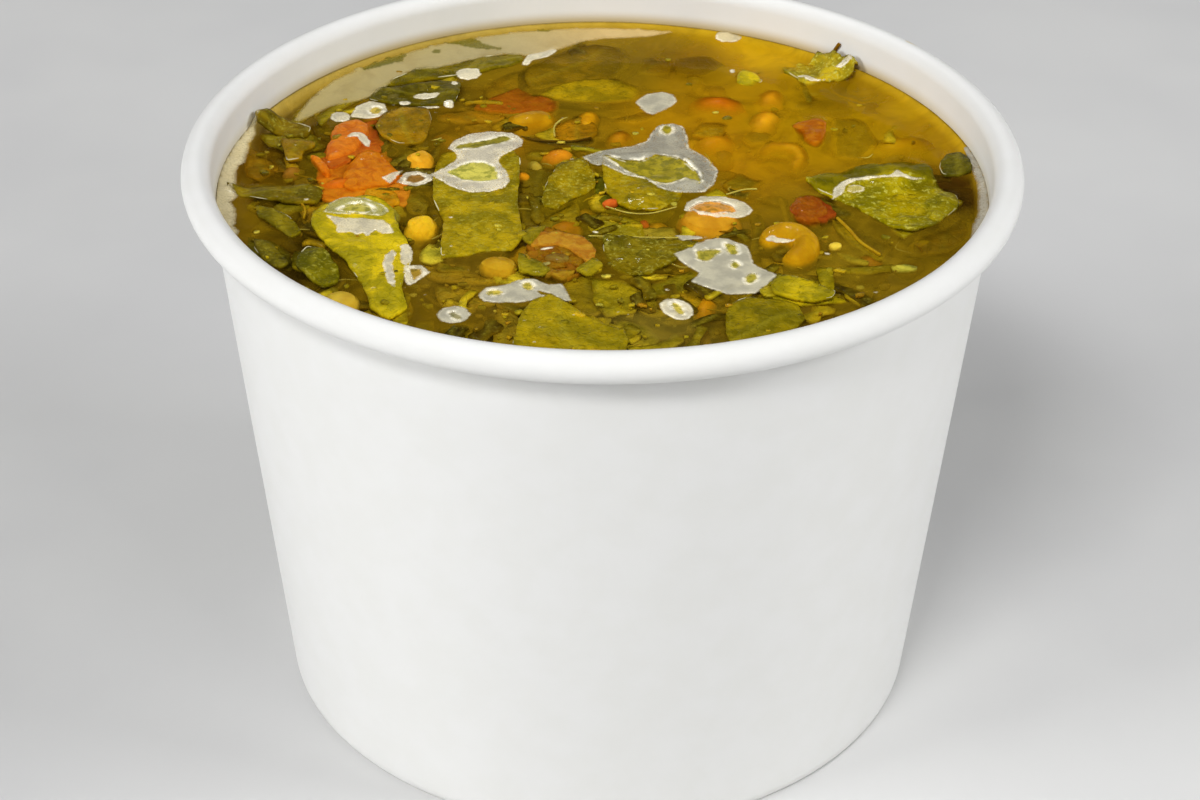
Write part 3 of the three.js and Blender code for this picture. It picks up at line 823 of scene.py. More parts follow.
def ragged(loop, size, depth, seed):
    """A loop with its edge roughened at random."""
    along = np.roll(loop, -1, 0) - np.roll(loop, 1, 0)
    along /= np.linalg.norm(along, axis=1)[:, None]
    out = np.column_stack([along[:, 1], -along[:, 0]])
    return loop + out * (depth * bumps(loop, size, seed))[:, None]


def grown(loop, by):
    """A loop moved outwards by a distance."""
    after = np.roll(loop, -1, 0)
    along = after - np.roll(loop, 1, 0)
    along /= np.linalg.norm(along, axis=1)[:, None]
    turning = np.sign((loop[:, 0] * after[:, 1] - after[:, 0] * loop[:, 1]).sum())
    return loop + turning * by * np.column_stack([along[:, 1], -along[:, 0]])


def vein_strength(points, centre, heading, offset, spacing):
    """How much of a vein runs through each point."""
    c, s = math.cos(heading), math.sin(heading)
    local = points - centre
    along = local[:, 0] * c + local[:, 1] * s
    across = -local[:, 0] * s + local[:, 1] * c - offset + 0.02 * along**2
    rib = np.exp(-((across / 0.34) ** 2))
    branch = (along - np.abs(across) * 0.9) / spacing
    near = np.abs(branch - np.round(branch)) * spacing
    twig = 0.6 * np.exp(-((near / 0.2) ** 2)) * np.clip(1 - np.abs(across) / 11, 0, 1)
    return np.maximum(rib, twig)


def leaf_part(outline, height, tone, seed, wrinkle, speckle=0.2, thickness=0.42, spacing=LEAF_SPACING,
              torn=0.18):
    """One leaf as a closed wavy plate with raised veins."""
    vein_rise = 0.07
    random = np.random.default_rng(seed)
    loop = ragged(smooth_loop(outline, spacing), 1.4, torn, seed)
    points, faces = flat_mesh(loop, spacing)
    centre = points.mean(0)
    sizes, directions = np.linalg.eigh(np.cov((points - centre).T))
    heading = math.atan2(directions[1, 1], directions[0, 1]) + random.uniform(-0.5, 0.5)
    offset = random.uniform(-0.5, 0.5) * math.sqrt(sizes[0])
    vein = vein_strength(points, centre, heading, offset, random.uniform(2.6, 3.6))
    top = height(points) + wrinkle * bumps(points, 2.6, seed, 3) + vein_rise * vein
    body, body_faces = slab(points, faces, top, top - thickness)
    shade = random.uniform(0.95, 1.05)
    edge = distance_to(points, loop)
    place = np.tile(np.column_stack([edge, edge, vein]), (2, 1))
    return body, body_faces, values_for(len(body), np.array(tone) * shade, speckle, place)


# Each leaf's slot, colour, how wrinkled it is, how much pale speckle it has, and how torn its edge is.
LEAF_LOOKS = {
    "leaf_big_square": ("leaf_middle", (142, 122, 10), 0.08, 0.25, 0.12),
    "leaf_long_left": ("leaf_bright", (178, 158, 20), 0.14, 0.1, 0.2),
    "leaf_folded_right": ("leaf_bright", (132, 119, 2), 0.35, 0.7, 0.2),
    "leaf_crumpled_back_right": ("leaf_pale", (158, 138, 26), 0.8, 1.0, 0.85),
    "leaf_front_centre": ("leaf_bright", (136, 118, 8), 0.1, 0.1, 0.16),
    "leaf_front_right": ("leaf_middle", (122, 106, 6), 0.12, 0.05, 0.12),
    "leaf_strip_front_right": ("leaf_pale", (150, 132, 12), 0.08, 0.1, 0.12),
    "leaf_small_centre": ("leaf_bright", (130, 110, 4), 0.25, 0.5, 0.35),
    "leaf_centre": ("leaf_bright", (134, 114, 4), 0.3, 0.25, 0.35),
    "leaf_dark_centre": ("leaf_dark", (100, 87, 4), 0.3, 0.4, 0.35),
    "leaf_star_left": ("leaf_middle", (126, 96, 6), 0.12, 0.1, 0.2),
    "leaf_strip_left": ("leaf_dark", (108, 90, 6), 0.2, 0.2, 0.35),
    "leaf_oval_left": ("leaf_middle", (112, 98, 6), 0.08, 0.1, 0.12),
    "leaf_dark_left": ("leaf_dark", (84, 74, 6), 0.1, 0.2, 0.2),
    "leaf_curled_left": ("leaf_bright", (98, 92, 4), 0.3, 0.4, 0.3),
    "leaf_band_back_left": ("leaf_middle", (96, 84, 4), 0.12, 0.05, 0.2),
    "leaf_block_back_left": ("leaf_dark", (80, 70, 4), 0.14, 0.1, 0.25),
    "leaf_olive_left": ("leaf_middle", (124, 93, 6), 0.08, 0.05, 0.12),
    "leaf_strip_right": ("leaf_dark", (78, 72, 6), 0.1, 0.1, 0.2),
    "leaf_tip_left": ("leaf_dark", (98, 80, 8), 0.15, 0.3, 0.4),
    "leaf_fleck_back": ("leaf_pale", (182, 160, 16), 0.1, 0.1, 0.2),
}


# A leaf's far half that is folded under and shows its smooth darker side: how dark, and its outline.
LEAF_FOLDS = {
    "leaf_folded_right": (0.62, [
        (23.9, -1.1), (27.1, 3.6), (31.6, 6.7), (36.4, 7.9), (40.5, 5.9), (40.1, 1.8), (35.4, 2.7),
        (30.6, 1.6), (27.3, -2),
    ]),
}


def surface_leaves():
    """The leaves at the surface, each in place of its CAD node."""
    made = []
    for seed, (node, (slot, tone, wrinkle, speckle, torn)) in enumerate(LEAF_LOOKS.items()):
        cloud, outline = node_top(node)
        part = leaf_part(outline, smooth_height(cloud), srgb(*tone), SEED + seed, wrinkle, speckle, torn=torn)
        if node in LEAF_FOLDS:
            dark, fold = LEAF_FOLDS[node]
            folded = inside(part[0][:, :2], np.array(fold, float))
            part[2][folded, :3] *= dark
            part[2][folded, 3] = 0
        obj = object_from(node.replace("leaf", "spinach"), [part], LEAF_LOOK)
        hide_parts(node)
        made.append(obj)
    return made


# Rounded pieces at the surface, refined from the solids of the frame.

def refined(node, name, material, tone, levels, depth, size, seed, swell, flatness=1.0):
    """A rounded CAD piece, subdivided, swelled back to its size, flattened above the level, with relief."""
    made = bmesh.new()
    made.from_mesh(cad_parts[node].data)
    bmesh.ops.remove_doubles(made, verts=made.verts, dist=1e-6)
    mesh = bpy.data.meshes.new(name)
    made.to_mesh(mesh)
    made.free()
    rough = bpy.data.objects.new(name + "_rough", mesh)
    bpy.context.scene.collection.objects.link(rough)
    smooth = rough.modifiers.new("smooth", "SUBSURF")
    smooth.levels = levels
    fine = rough.evaluated_get(bpy.context.evaluated_depsgraph_get()).data
    places = np.array([v.co for v in fine.vertices]) / MM
    normals = np.array([v.normal for v in fine.vertices])
    faces = [tuple(f.vertices) for f in fine.polygons]
    bpy.data.objects.remove(rough)
    places += normals * (swell + depth * bumps(places, size, seed, 3))[:, None]
    places[:, 2] = np.minimum(places[:, 2], LEVEL + (places[:, 2] - LEVEL) * flatness)
    obj = object_from(name, [(places, faces, values_for(len(places), tone))], material)
    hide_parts(node)
    return obj


def surface_chunks():
    """Tomato, carrot, pepper and onion: slot, colour, size and depth of relief, swell, flatness."""
    looks = {
        "tomato_red": ("tomato_red", (192, 104, 24), 2.2, 0.25, 0.0, 0.7),
        "tomato_orange": ("tomato_orange", (186, 104, 14), 1.8, 0.2, 0.0, 0.4),
        "carrot_shred_left": ("tomato_orange", (204, 112, 16), 2.2, 0.08, 0.1, 1.0),
        "carrot_right": ("tomato_orange", (162, 92, 6), 2.2, 0.15, 0.0, 1.0),
        "pepper_right": ("tomato_red", (138, 72, 8), 1.6, 0.3, 0.0, 0.7),
        "onion_front": ("onion", (132, 92, 12), 1.0, 0.9, -0.3, 0.15),
    }
    made = []
    for i, (node, (slot, tone, size, depth, swell, flatness)) in enumerate(looks.items()):
        name, seed = node + "_soft", SEED + 40 + i
        made.append(refined(node, name, FLESH_LOOK, srgb(*tone), 3, depth, size, seed, swell, flatness))
    return made


def surface_beans():
    """Beans, lentils and kernels: slot, colour, depth of relief, swell."""
    looks = {
        "bean_orange": ("bean_orange", (188, 134, 28), 0.08, 0.25),
        "bean_curled": ("bean_yellow", (176, 130, 12), 0.08, 0.35),
        "kernel_yellow": ("kernel", (218, 172, 30), 0.25, 0.1),
        "kernel_orange": ("bean_orange", (216, 158, 36), 0.2, 0.1),
        "lentil_front_left": ("bean_yellow", (196, 164, 50), 0.06, 0.1),
        "lentil_front": ("bean_yellow", (170, 130, 24), 0.2, 0.0),
    }
    made = []
    for i, (node, (slot, tone, depth, swell)) in enumerate(looks.items()):
        name, seed = node + "_wet", SEED + 60 + i
        made.append(refined(node, name, BEAN_LOOK, srgb(*tone), 2, depth, 1.8, seed, swell))
    return made


# Pieces wholly or nearly sunk in the broth. Leaves, and a few dark sheets that are painted shade: depth,
# colour, wrinkle, speckle, outline.
SUNK_LEAVES = [
    (0.5, (156, 132, 12), 0.06, 0, [
        (-8.3, 25.6), (-6, 28), (-2.5, 30), (1.5, 30.3), (4.6, 28), (4.4, 24.6), (0, 23.6), (-4.5, 23.8),
    ]),
    (0.7, (116, 92, 6), 0.1, 0, [
        (-10.2, 32.5), (-9, 34.6), (-6.5, 37.6), (-4.5, 39.6), (-1, 41.3), (2.4, 40.4), (3.6, 37),
        (2.5, 33), (1, 30.5), (-4, 29.6), (-8.5, 27.5), (-9.7, 29),
    ]),
    # Painted shadow: a dark sheet along a shaded gap beside a leaf.
    (1.3, (66, 50, 6), 0.1, 0, [
        (-11.4, 27), (-11.2, 31), (-10.4, 35.2), (-8, 36), (-9.2, 30), (-9.6, 26.4),
    ]),
    (1.1, (140, 106, 8), 0.15, 0, [
        (-14.5, 25.5), (-15.2, 29.5), (-13, 31.8), (-11, 33.2), (-10.9, 28.5), (-12, 26),
    ]),
    (1.4, (78, 62, 8), 0.15, 0, [(-18.8, 23), (-18.3, 28.4), (-16.6, 29.4), (-14.6, 27.5), (-14.8, 23.4)]),
    (1.0, (142, 86, 6), 0.2, 0, [
        (-15.5, 22.5), (-13, 25.5), (-10.8, 27.4), (-9.2, 24.8), (-5.8, 23.2), (-6.2, 20.4), (-13, 20.4),
    ]),
    (0.9, (154, 110, 12), 0.15, 0.1, [
        (-20.6, 20.2), (-17, 21.6), (-12.6, 21.6), (-12.4, 19), (-17, 18.2), (-20.4, 18.6),
    ]),
    # Painted shadow: a dark strip in the shade under the edge of a bean's husk.
    (0.35, (48, 34, 6), 0.05, 0, [
        (-9.6, 13.1), (-8.2, 12), (-6.4, 11.2), (-3.5, 10.9), (-1.1, 11.9), (-0.8, 13), (-2, 12.7),
        (-4.5, 12.2), (-7, 12.4),
    ]),
    (0.2, (150, 106, 8), 0.08, 0, [
        (-5.8, 13.2), (-5.9, 15.6), (-4.8, 17.8), (-3, 18.6), (-1, 17), (-0.6, 14), (-1.6, 12.7),
        (-4, 12.1),
    ]),
    (0.7, (132, 98, 8), 0.2, 0.1, [
        (-43, 10.7), (-41.3, 8.7), (-39.1, 6), (-39, 4.8), (-40.9, 2.1), (-42.5, 3.6), (-43.2, 6.8),
    ]),
    # Painted shade: a dark sheet in a shaded gap between leaves at the left.
    (1.6, (54, 44, 6), 0.1, 0, [(-41.8, 13.5), (-38.8, 12.4), (-37.8, 8), (-39, 5), (-42.6, 9)]),
    (0.6, (146, 112, 14), 0.15, 0.2, [
        (-36.2, 0.5), (-33.1, 1.5), (-32.3, -3), (-33.1, -7.3), (-34.4, -8.9), (-35.4, -5),
    ]),
    (0.9, (124, 104, 20), 0.12, 0.1, [
        (-42.5, 1.5), (-38, 1.6), (-34.5, 0), (-35, -2.4), (-39, -1), (-42.8, -0.8),
    ]),
    (0.3, (170, 118, 12), 0.15, 0.2, [
        (-27.6, -0.3), (-26, 0.6), (-24.4, -1.5), (-23.6, -4.2), (-25.6, -4.6), (-28, -2.6),
    ]),
    (0.5, (118, 96, 12), 0.2, 0.1, [
        (-23.4, -1), (-21.5, -0.4), (-20.2, -3), (-20.6, -6.4), (-22.4, -6), (-23.2, -3.4),
    ]),
    (0.1, (158, 148, 60), 0.1, 0.6, [
        (-25.4, -5.4), (-24.2, -5.8), (-23.3, -7.6), (-23.4, -8.9), (-24.4, -8.6), (-25, -7),
    ]),
    (0.3, (188, 176, 60), 0.1, 0.3, [
        (-19.6, -13.9), (-18, -14.4), (-17.6, -17.2), (-19, -18.2), (-20.6, -17.4), (-20.4, -15.4),
    ]),
    (0.8, (132, 104, 16), 0.2, 0.1, [
        (-20.4, -17.1), (-17.8, -18.5), (-14.6, -19.3), (-12.7, -20.9), (-13.8, -22), (-17, -21.3),
        (-19.6, -20.1),
    ]),
    (1.8, (50, 36, 6), 0.1, 0, [
        (-20.6, -20), (-16, -21.3), (-11.5, -21.8), (-11, -23.2), (-16, -23), (-20.6, -22),
    ]),
    (0.8, (148, 122, 24), 0.2, 0.2, [
        (-18.5, -22.6), (-16.2, -22.2), (-12.7, -23), (-13.5, -24.6), (-13.1, -26.9), (-15.4, -27.3),
        (-17.8, -26.2),
    ]),
    (0.2, (152, 134, 16), 0.2, 0.1, [
        (-22.1, -24.6), (-20.9, -25.4), (-21.2, -28.5), (-20.8, -31.9), (-22.3, -32.3), (-22.6, -27.7),
    ]),
    (0.9, (122, 106, 18), 0.1, 0, [(-20.1, -29.7), (-18.2, -29.8), (-18, -34.4), (-20.4, -34)]),
    (0.9, (128, 108, 16), 0.1, 0.1, [(-17.4, -31.4), (-14.2, -30.6), (-13.3, -36.2), (-17, -36.6)]),
    (0.7, (136, 116, 28), 0.1, 0.1, [(-11.5, -27.3), (-8.4, -27.5), (-8.8, -37), (-11.4, -36.8)]),
    (1.9, (62, 50, 10), 0.1, 0, [(-14, -29), (-11, -28), (-10.4, -35), (-13.8, -36)]),
    (0.8, (126, 110, 14), 0.15, 0, [
        (-4.4, -20.4), (-0.5, -19.9), (1, -22.5), (0.8, -27.5), (-1.6, -28.6), (-3.6, -26),
    ]),
    (1.5, (52, 40, 6), 0.1, 0, [(-5, -24.6), (-2.8, -25.4), (-1.6, -29), (-3.2, -30.2), (-5, -27.6)]),
    (0.5, (140, 126, 16), 0.2, 0.2, [
        (-0.9, -21.3), (2.2, -21.2), (4.4, -24.4), (3.6, -28.1), (0.6, -29), (-1, -25.6),
    ]),
    (0.9, (132, 116, 20), 0.2, 0.1, [(3.8, -22.6), (8, -23.6), (8.6, -26.6), (6, -28.4), (3.8, -27)]),
    (0.6, (106, 100, 10), 0.2, 0.2, [
        (5.8, -21.8), (8.5, -19.7), (10.7, -18.9), (11, -21.8), (8.1, -24.2), (5.4, -24.6),
    ]),
    (0.7, (148, 134, 26), 0.2, 0.2, [(1.6, -30), (5, -30.6), (6.2, -34), (4.6, -38), (1.4, -38.2)]),
    (0.3, (84, 86, 8), 0.25, 0.2, [
        (-1.3, 2.9), (2.2, 1.7), (4.6, 0.5), (5, -3), (2.6, -5.4), (0.3, -4.4), (-0.9, -1.8),
    ]),
    (0.5, (136, 124, 14), 0.3, 0.7, [(-2.3, -6.3), (1.1, -6), (4.2, -7.5), (4.8, -12), (-0.5, -11.8)]),
    (0.8, (150, 136, 48), 0.2, 0.2, [(4.2, -9), (8.3, -8.4), (9.2, -11), (7.6, -12.2), (4.4, -12.4)]),
    (0.9, (104, 92, 10), 0.2, 0.1, [(-9.4, 6), (-4.6, 5), (-5.4, 1.5), (-7.4, -2), (-9.4, -2.4)]),
    (0.9, (98, 84, 14), 0.3, 0.4, [(-6, 5.2), (-1.4, 5.4), (-1, 3), (-4.8, 2.4)]),
    (1.1, (92, 84, 8), 0.2, 0.1, [(-9.4, -2.6), (-7.2, -2.4), (-6.6, -8), (-8.2, -12), (-9.4, -8)]),
    (0.6, (128, 108, 12), 0.2, 0.1, [(-6.6, -6.8), (-3, -3.2), (-2.6, -8.4), (-5, -10.6), (-7.6, -9.8)]),
    (0.7, (104, 94, 8), 0.15, 0.1, [
        (14.3, 2), (16.4, 4.9), (18, 3.2), (19.6, 3.4), (17.8, 0.9), (15.6, 0.4),
    ]),
    (0.3, (168, 154, 22), 0.1, 0.1, [(11.6, -2.1), (13.4, 0.2), (14.9, -1.6), (13.6, -2)]),
    (0.3, (70, 60, 10), 0.1, 0.3, [(15, 0.1), (16.6, -0.9), (17.6, -0.4), (16.8, -1.9), (15.2, -1.4)]),
    (1.2, (112, 100, 8), 0.15, 0, [
        (17.2, -4.6), (18.6, -4.8), (19, -9), (18.2, -13), (16.9, -13.4), (17.4, -9),
    ]),
    (1.0, (142, 114, 12), 0.15, 0.1, [(18, -15), (20.1, -15.6), (20.4, -19.8), (18.4, -19.4)]),
    (1.0, (132, 112, 14), 0.15, 0.1, [
        (22.2, -18.6), (24.6, -19.4), (28.2, -24.2), (26.6, -24.6), (23.6, -22),
    ]),
    (0.4, (148, 124, 14), 0.15, 0.1, [
        (26.7, -7.2), (28.1, -8.3), (29.6, -12), (31.9, -15.8), (30.9, -16.2), (28.3, -12.2), (27, -9.6),
    ]),
    (1.0, (88, 70, 8), 0.2, 0, [(28.4, -8), (31.4, -10), (33.2, -12.4), (31.8, -14.6), (29.8, -11.4)]),
    (0.5, (170, 156, 50), 0.1, 0.1, [
        (26.6, -14.6), (28.2, -15), (30.2, -16.8), (29.4, -17.2), (27.4, -16),
    ]),
    (0.05, (196, 186, 76), 0.1, 0.3, [(32.4, -18.4), (33.8, -18), (35.3, -18.6), (35, -19.4), (33, -19.5)]),
    (1.0, (112, 96, 6), 0.15, 0, [(28.6, 20), (32.6, 19.4), (33.8, 14), (31.4, 9.6), (28.2, 10.4)]),
    (1.4, (124, 92, 4), 0.15, 0, [(24, 25.6), (31, 26.4), (31.4, 21.4), (25, 20.6)]),
    (1.2, (96, 70, 4), 0.15, 0, [(9.8, 33.4), (9.6, 38), (14, 38.6), (15.8, 35.4), (13.6, 32.8)]),
    (1.0, (120, 90, 6), 0.15, 0, [(4.4, 33), (5.4, 37.6), (8.6, 37), (8.4, 33)]),
    (0.8, (166, 132, 14), 0.2, 0.3, [(11, 15), (12.4, 18.6), (15.6, 18), (14.4, 14.6)]),
    (0.8, (160, 124, 12), 0.2, 0.2, [(1.4, 19), (4.6, 21.4), (7, 20.4), (4, 18)]),
    (0.3, (84, 70, 8), 0.1, 0.1, [(24.2, -1.2), (27.4, -3.4), (29.4, -6), (27.6, -6.8), (25.6, -4)]),
    # Painted shade: a dark sheet in a shaded gap between leaves at the right wall.
    (1.6, (58, 42, 8), 0.1, 0, [(40, 2.6), (44, 3), (43.6, -3.6), (41.6, -5), (40.2, -1.6)]),
    (0.8, (112, 86, 8), 0.2, 0.1, [(36, -10.4), (41.6, -6), (42.4, -9), (39.4, -13.6), (35.6, -14.6)]),
    (0.4, (150, 132, 20), 0.1, 0.1, [
        (-39.4, 15.6), (-37.8, 15.8), (-35.6, 21), (-33.6, 25.4), (-35.6, 26), (-38, 20.4),
    ]),
    (0.05, (150, 134, 12), 0.08, 0.1, [
        (17.5, -21.6), (20.5, -22.2), (24.3, -24), (26.8, -26), (24, -26.6), (21.5, -26.8), (19, -25.8),
    ]),
    (0.0, (146, 130, 8), 0.3, 0.5, [
        (30, -5.1), (32.7, -8.4), (34.6, -11.6), (37.5, -8.3), (40.1, -5.7), (42.3, -3.1), (39.6, -1.2),
        (34, -2),
    ]),
    (0.2, (112, 98, 10), 0.3, 0.3, [
        (-41.9, 12.7), (-39.3, 14.5), (-35.6, 13.7), (-33.6, 10.2), (-37.4, 8.4), (-40.4, 10.1),
    ]),
    (0.4, (84, 78, 8), 0.2, 0.2, [
        (-40.4, -12.6), (-37.4, -13.6), (-35.4, -15.6), (-34.6, -19.7), (-37.2, -18.6), (-39.8, -16),
    ]),
    (0.3, (124, 112, 12), 0.2, 0.2, [
        (-34.7, -15.8), (-32.2, -15.7), (-31.6, -17.7), (-33.2, -20.3), (-34.7, -19.1),
    ]),
    (-0.45, (128, 114, 14), 0.1, 0.1, [
        (-9.4, -16.8), (-7.6, -18.2), (-5.8, -20.4), (-6.6, -22), (-9.2, -20.8),
    ]),
    (-0.4, (134, 118, 16), 0.1, 0.1, [(-2.8, -20.4), (-0.9, -17.8), (0.1, -19.4), (-1.4, -21.6)]),
    (-0.45, (120, 104, 12), 0.1, 0.1, [
        (-9.4, -13.2), (-8.4, -11), (-6.4, -10.3), (-7.2, -12.6), (-8, -14.8),
    ]),
    (0.3, (132, 118, 16), 0.1, 0, [
        (-34.8, 16), (-33.4, 19.6), (-31, 23), (-28.8, 25.2), (-30.2, 26), (-33.4, 22.6), (-35.6, 18.4),
    ]),
]

# Beans, lentils and peas: x, y, depth of the middle, half length, half width, heading, colour.
SUNK_BEANS = [
    (-8.8, 18, 1.9, 3.9, 3.0, 20, (174, 126, 10)),
    (-1.9, 18.4, 1.4, 3.3, 1.7, 80, (200, 144, 14)),
    (2.2, 14.6, 1.9, 2.1, 1.8, 60, (192, 128, 14)),
    (-5.4, 8.8, 1.5, 2.2, 1.9, 30, (200, 128, 24)),
    (-8.1, 6.6, 1.1, 1.2, 0.9, 120, (196, 172, 64)),
    (-9.6, 3.4, 0.9, 0.95, 0.9, 0, (222, 146, 22)),
    (-37.1, 4.2, 1.2, 1.4, 1.2, 70, (158, 108, 34)),
    (21.3, 26.4, 2.4, 3.2, 2.4, 80, (214, 146, 18)),
    (20.3, 19.6, 2.0, 3.1, 2.2, 70, (222, 160, 24)),
    (13.9, 13.8, 2.7, 3.1, 2.7, 20, (206, 142, 14)),
    (11.9, 31, 2.0, 2.0, 1.6, 100, (188, 150, 10)),
    (11.5, -26.4, 1.6, 2.6, 1.5, 85, (184, 126, 10)),
    (11, -31, 2.4, 2.2, 1.2, 95, (140, 80, 14)),
    (36.7, -11.8, 1.6, 1.7, 1.3, 30, (156, 124, 10)),
    (37, 13.6, 2.6, 4.2, 2.8, 15, (190, 144, 6)),
    (4.9, -8, 0.9, 0.9, 0.7, 100, (178, 84, 22)),
    (-6, -18.6, 0.7, 1.2, 1.0, 0, (158, 148, 88)),
    (-35.7, -2.1, 0.2, 0.55, 0.5, 0, (206, 184, 110)),
    (26.5, -14, 0.15, 0.8, 0.65, 20, (224, 196, 66)),
    (1, -4.3, 0.1, 1.0, 0.75, 20, (196, 92, 30)),
]

# Soft pieces of tomato and carrot below the level: x, y, depth, half length, half width, heading, colour.
SUNK_CARROTS = [
    (-31, 0.6, 1.7, 3.4, 2.4, 20, (192, 98, 14)),
    (-26.6, 2.6, 1.9, 3.2, 2.2, -40, (188, 92, 14)),
    (14.6, 24, 2.6, 4.0, 2.9, -25, (186, 100, 8)),
    (33.6, 24.4, 2.4, 2.6, 1.6, 60, (140, 100, 6)),
    (-10.8, 26.4, 2.0, 2.4, 1.4, 10, (146, 80, 8)),
]


# Flat torn flesh of tomato and carrot round the larger pieces: depth, colour, outline.
FLESH_PLATES = [
    (0.45, (190, 108, 16), [
        (-34, 4.5), (-32.5, 9.5), (-30.6, 12.2), (-28.8, 13.3), (-27.4, 11.5), (-25.4, 7.5), (-24, 4.7),
        (-21.8, 3.2), (-22.6, 1.6), (-23.7, -0.4), (-25.2, -1.9), (-27.8, -1.5), (-29.3, -3),
        (-30.9, -3.8), (-32.8, -3.1), (-33.6, -0.1),
    ]),
    (0.2, (170, 84, 20), [
        (-34.1, 5.5), (-33.3, 11.3), (-31.8, 15.7), (-29.8, 16.9), (-28.1, 17.4), (-28.2, 14.7),
        (-26.6, 10.9), (-27.2, 8.8), (-29.1, 8.2), (-30.4, 6.1), (-32, 4.5),
    ]),
    (0.1, (142, 92, 14), [
        (-8.5, -13.2), (-6.6, -10.4), (-4.2, -11.3), (-1.9, -13.1), (-1.1, -16.8), (-1.9, -20),
        (-4.1, -21.4), (-6.3, -20.1), (-8.1, -17.4),
    ]),
    (-0.35, (168, 116, 28), [
        (-8.3, -14.5), (-7, -12), (-4.8, -11.6), (-2.4, -13), (-0.8, -15.5), (-1.2, -18.6), (-2.6, -17),
        (-4.2, -14.8), (-6.4, -14.8),
    ]),
    (-0.3, (124, 98, 32), [
        (-6.2, -17.2), (-5.1, -16.6), (-3.9, -17.1), (-3.8, -18), (-5, -18.5), (-6.1, -18),
    ]),
    (-0.25, (140, 102, 18), [
        (-8.6, -17), (-7.2, -18.8), (-5.2, -20.2), (-2.8, -20.4), (-4.4, -21.7), (-7.6, -20.4),
    ]),
    (0.5, (150, 76, 8), [
        (-16.2, 21.6), (-13.6, 25.2), (-11, 27.6), (-8.8, 25.2), (-5.2, 23.6), (-6.2, 20.8),
        (-11.5, 20.2),
    ]),
    (0.4, (196, 116, 24), [(-26.8, -1), (-24.6, 1), (-22.4, -0.6), (-23, -4), (-25.6, -4.8), (-28, -3)]),
    (-0.1, (140, 62, 16), [
        (21.8, -4.3), (23.2, -2.3), (25, -2), (26.3, -4.2), (27.1, -6.2), (25.9, -7.6), (24.2, -8.2),
        (22.4, -7),
    ]),
]


def bean_part(x, y, depth, length, width, heading, tone, seed, detail=3, bend=0.14, rough=0.0):
    """A bean or lentil: a rounded body, slightly bent, with a dent on its inner side."""
    made = bmesh.new()
    bmesh.ops.create_icosphere(made, subdivisions=detail, radius=1)
    ball = np.array([v.co for v in made.verts])
    faces = [tuple(v.index for v in f.verts) for f in made.faces]
    made.free()
    along, across, up = ball[:, 0], ball[:, 1], ball[:, 2]
    dent = 0.28 * np.exp(-((along / 0.42) ** 2)) * np.clip(-across, 0, 1)
    across = across + dent + bend * along**2
    swell = 1 + 0.06 * bumps(ball, 0.9, seed)
    if rough:
        swell = swell * (1 + rough * bumps(ball, 0.35, seed + 1, 3))
    height = width * 0.8
    c, s = math.cos(math.radians(heading)), math.sin(math.radians(heading))
    u, v, w = along * length * swell, across * width * swell, up * height * swell
    points = np.column_stack([x + u * c - v * s, y + u * s + v * c, LEVEL - depth + w])
    return points, faces, values_for(len(points), srgb(*tone))


def tilted(middle, centre, random, slope):
    """The height of a leaf whose middle lies at a given height, leaning a little at random."""
    lean = random.uniform(-slope, slope, 2)
    return lambda p: middle + (p - centre) @ lean


def place_within(reach, random):
    """A random place in the soup: x, y and how far it lies from the middle."""
    radius, angle = reach * math.sqrt(random.random()), random.uniform(0, 2 * math.pi)
    return radius * math.cos(angle), radius * math.sin(angle), radius


def uneven_turns(corners, random):
    """Uneven steps round a circle, for the corners of a torn scrap."""
    return 2 * math.pi * (np.arange(corners) + random.uniform(-0.3, 0.3, corners)) / corners


def turned(flat, turn):
    """Flat points turned about the origin."""
    return flat @ np.array([[math.cos(turn), math.sin(turn)], [-math.sin(turn), math.cos(turn)]])


# Colours of the scattered leaf scraps, leaf shreds, beans and crumbs.
SCRAP_TONES = [(120, 106, 12), (96, 86, 10), (140, 120, 18), (74, 62, 8), (132, 100, 12)]
# The three near-black shred colours are painted shade: dark slivers for the shaded gaps between leaves.
SHRED_TONES = [
    (156, 138, 16), (132, 118, 10), (112, 98, 10), (172, 150, 26), (152, 120, 12), (96, 80, 8), (56, 42, 6),
    (66, 54, 8), (176, 158, 34), (48, 36, 6),
]
BEAN_TONES = [(184, 132, 14), (170, 126, 18), (196, 148, 20), (160, 104, 14), (150, 122, 20)]
CRUMB_TONES = [
    (150, 130, 14), (112, 98, 8), (166, 134, 18), (142, 98, 14), (184, 170, 74), (90, 74, 8), (148, 126, 16),
    (58, 46, 6),
]


def any_of(tones, random):
    """One of the colours at random."""
    return tones[random.integers(len(tones))]


def golden(x, y):
    """How golden and free of leaves the broth is at a place, from 0 to 1."""
    return smoothstep(GOLDEN_HEADING[0] * x + GOLDEN_HEADING[1] * y, *GOLDEN_SPAN)


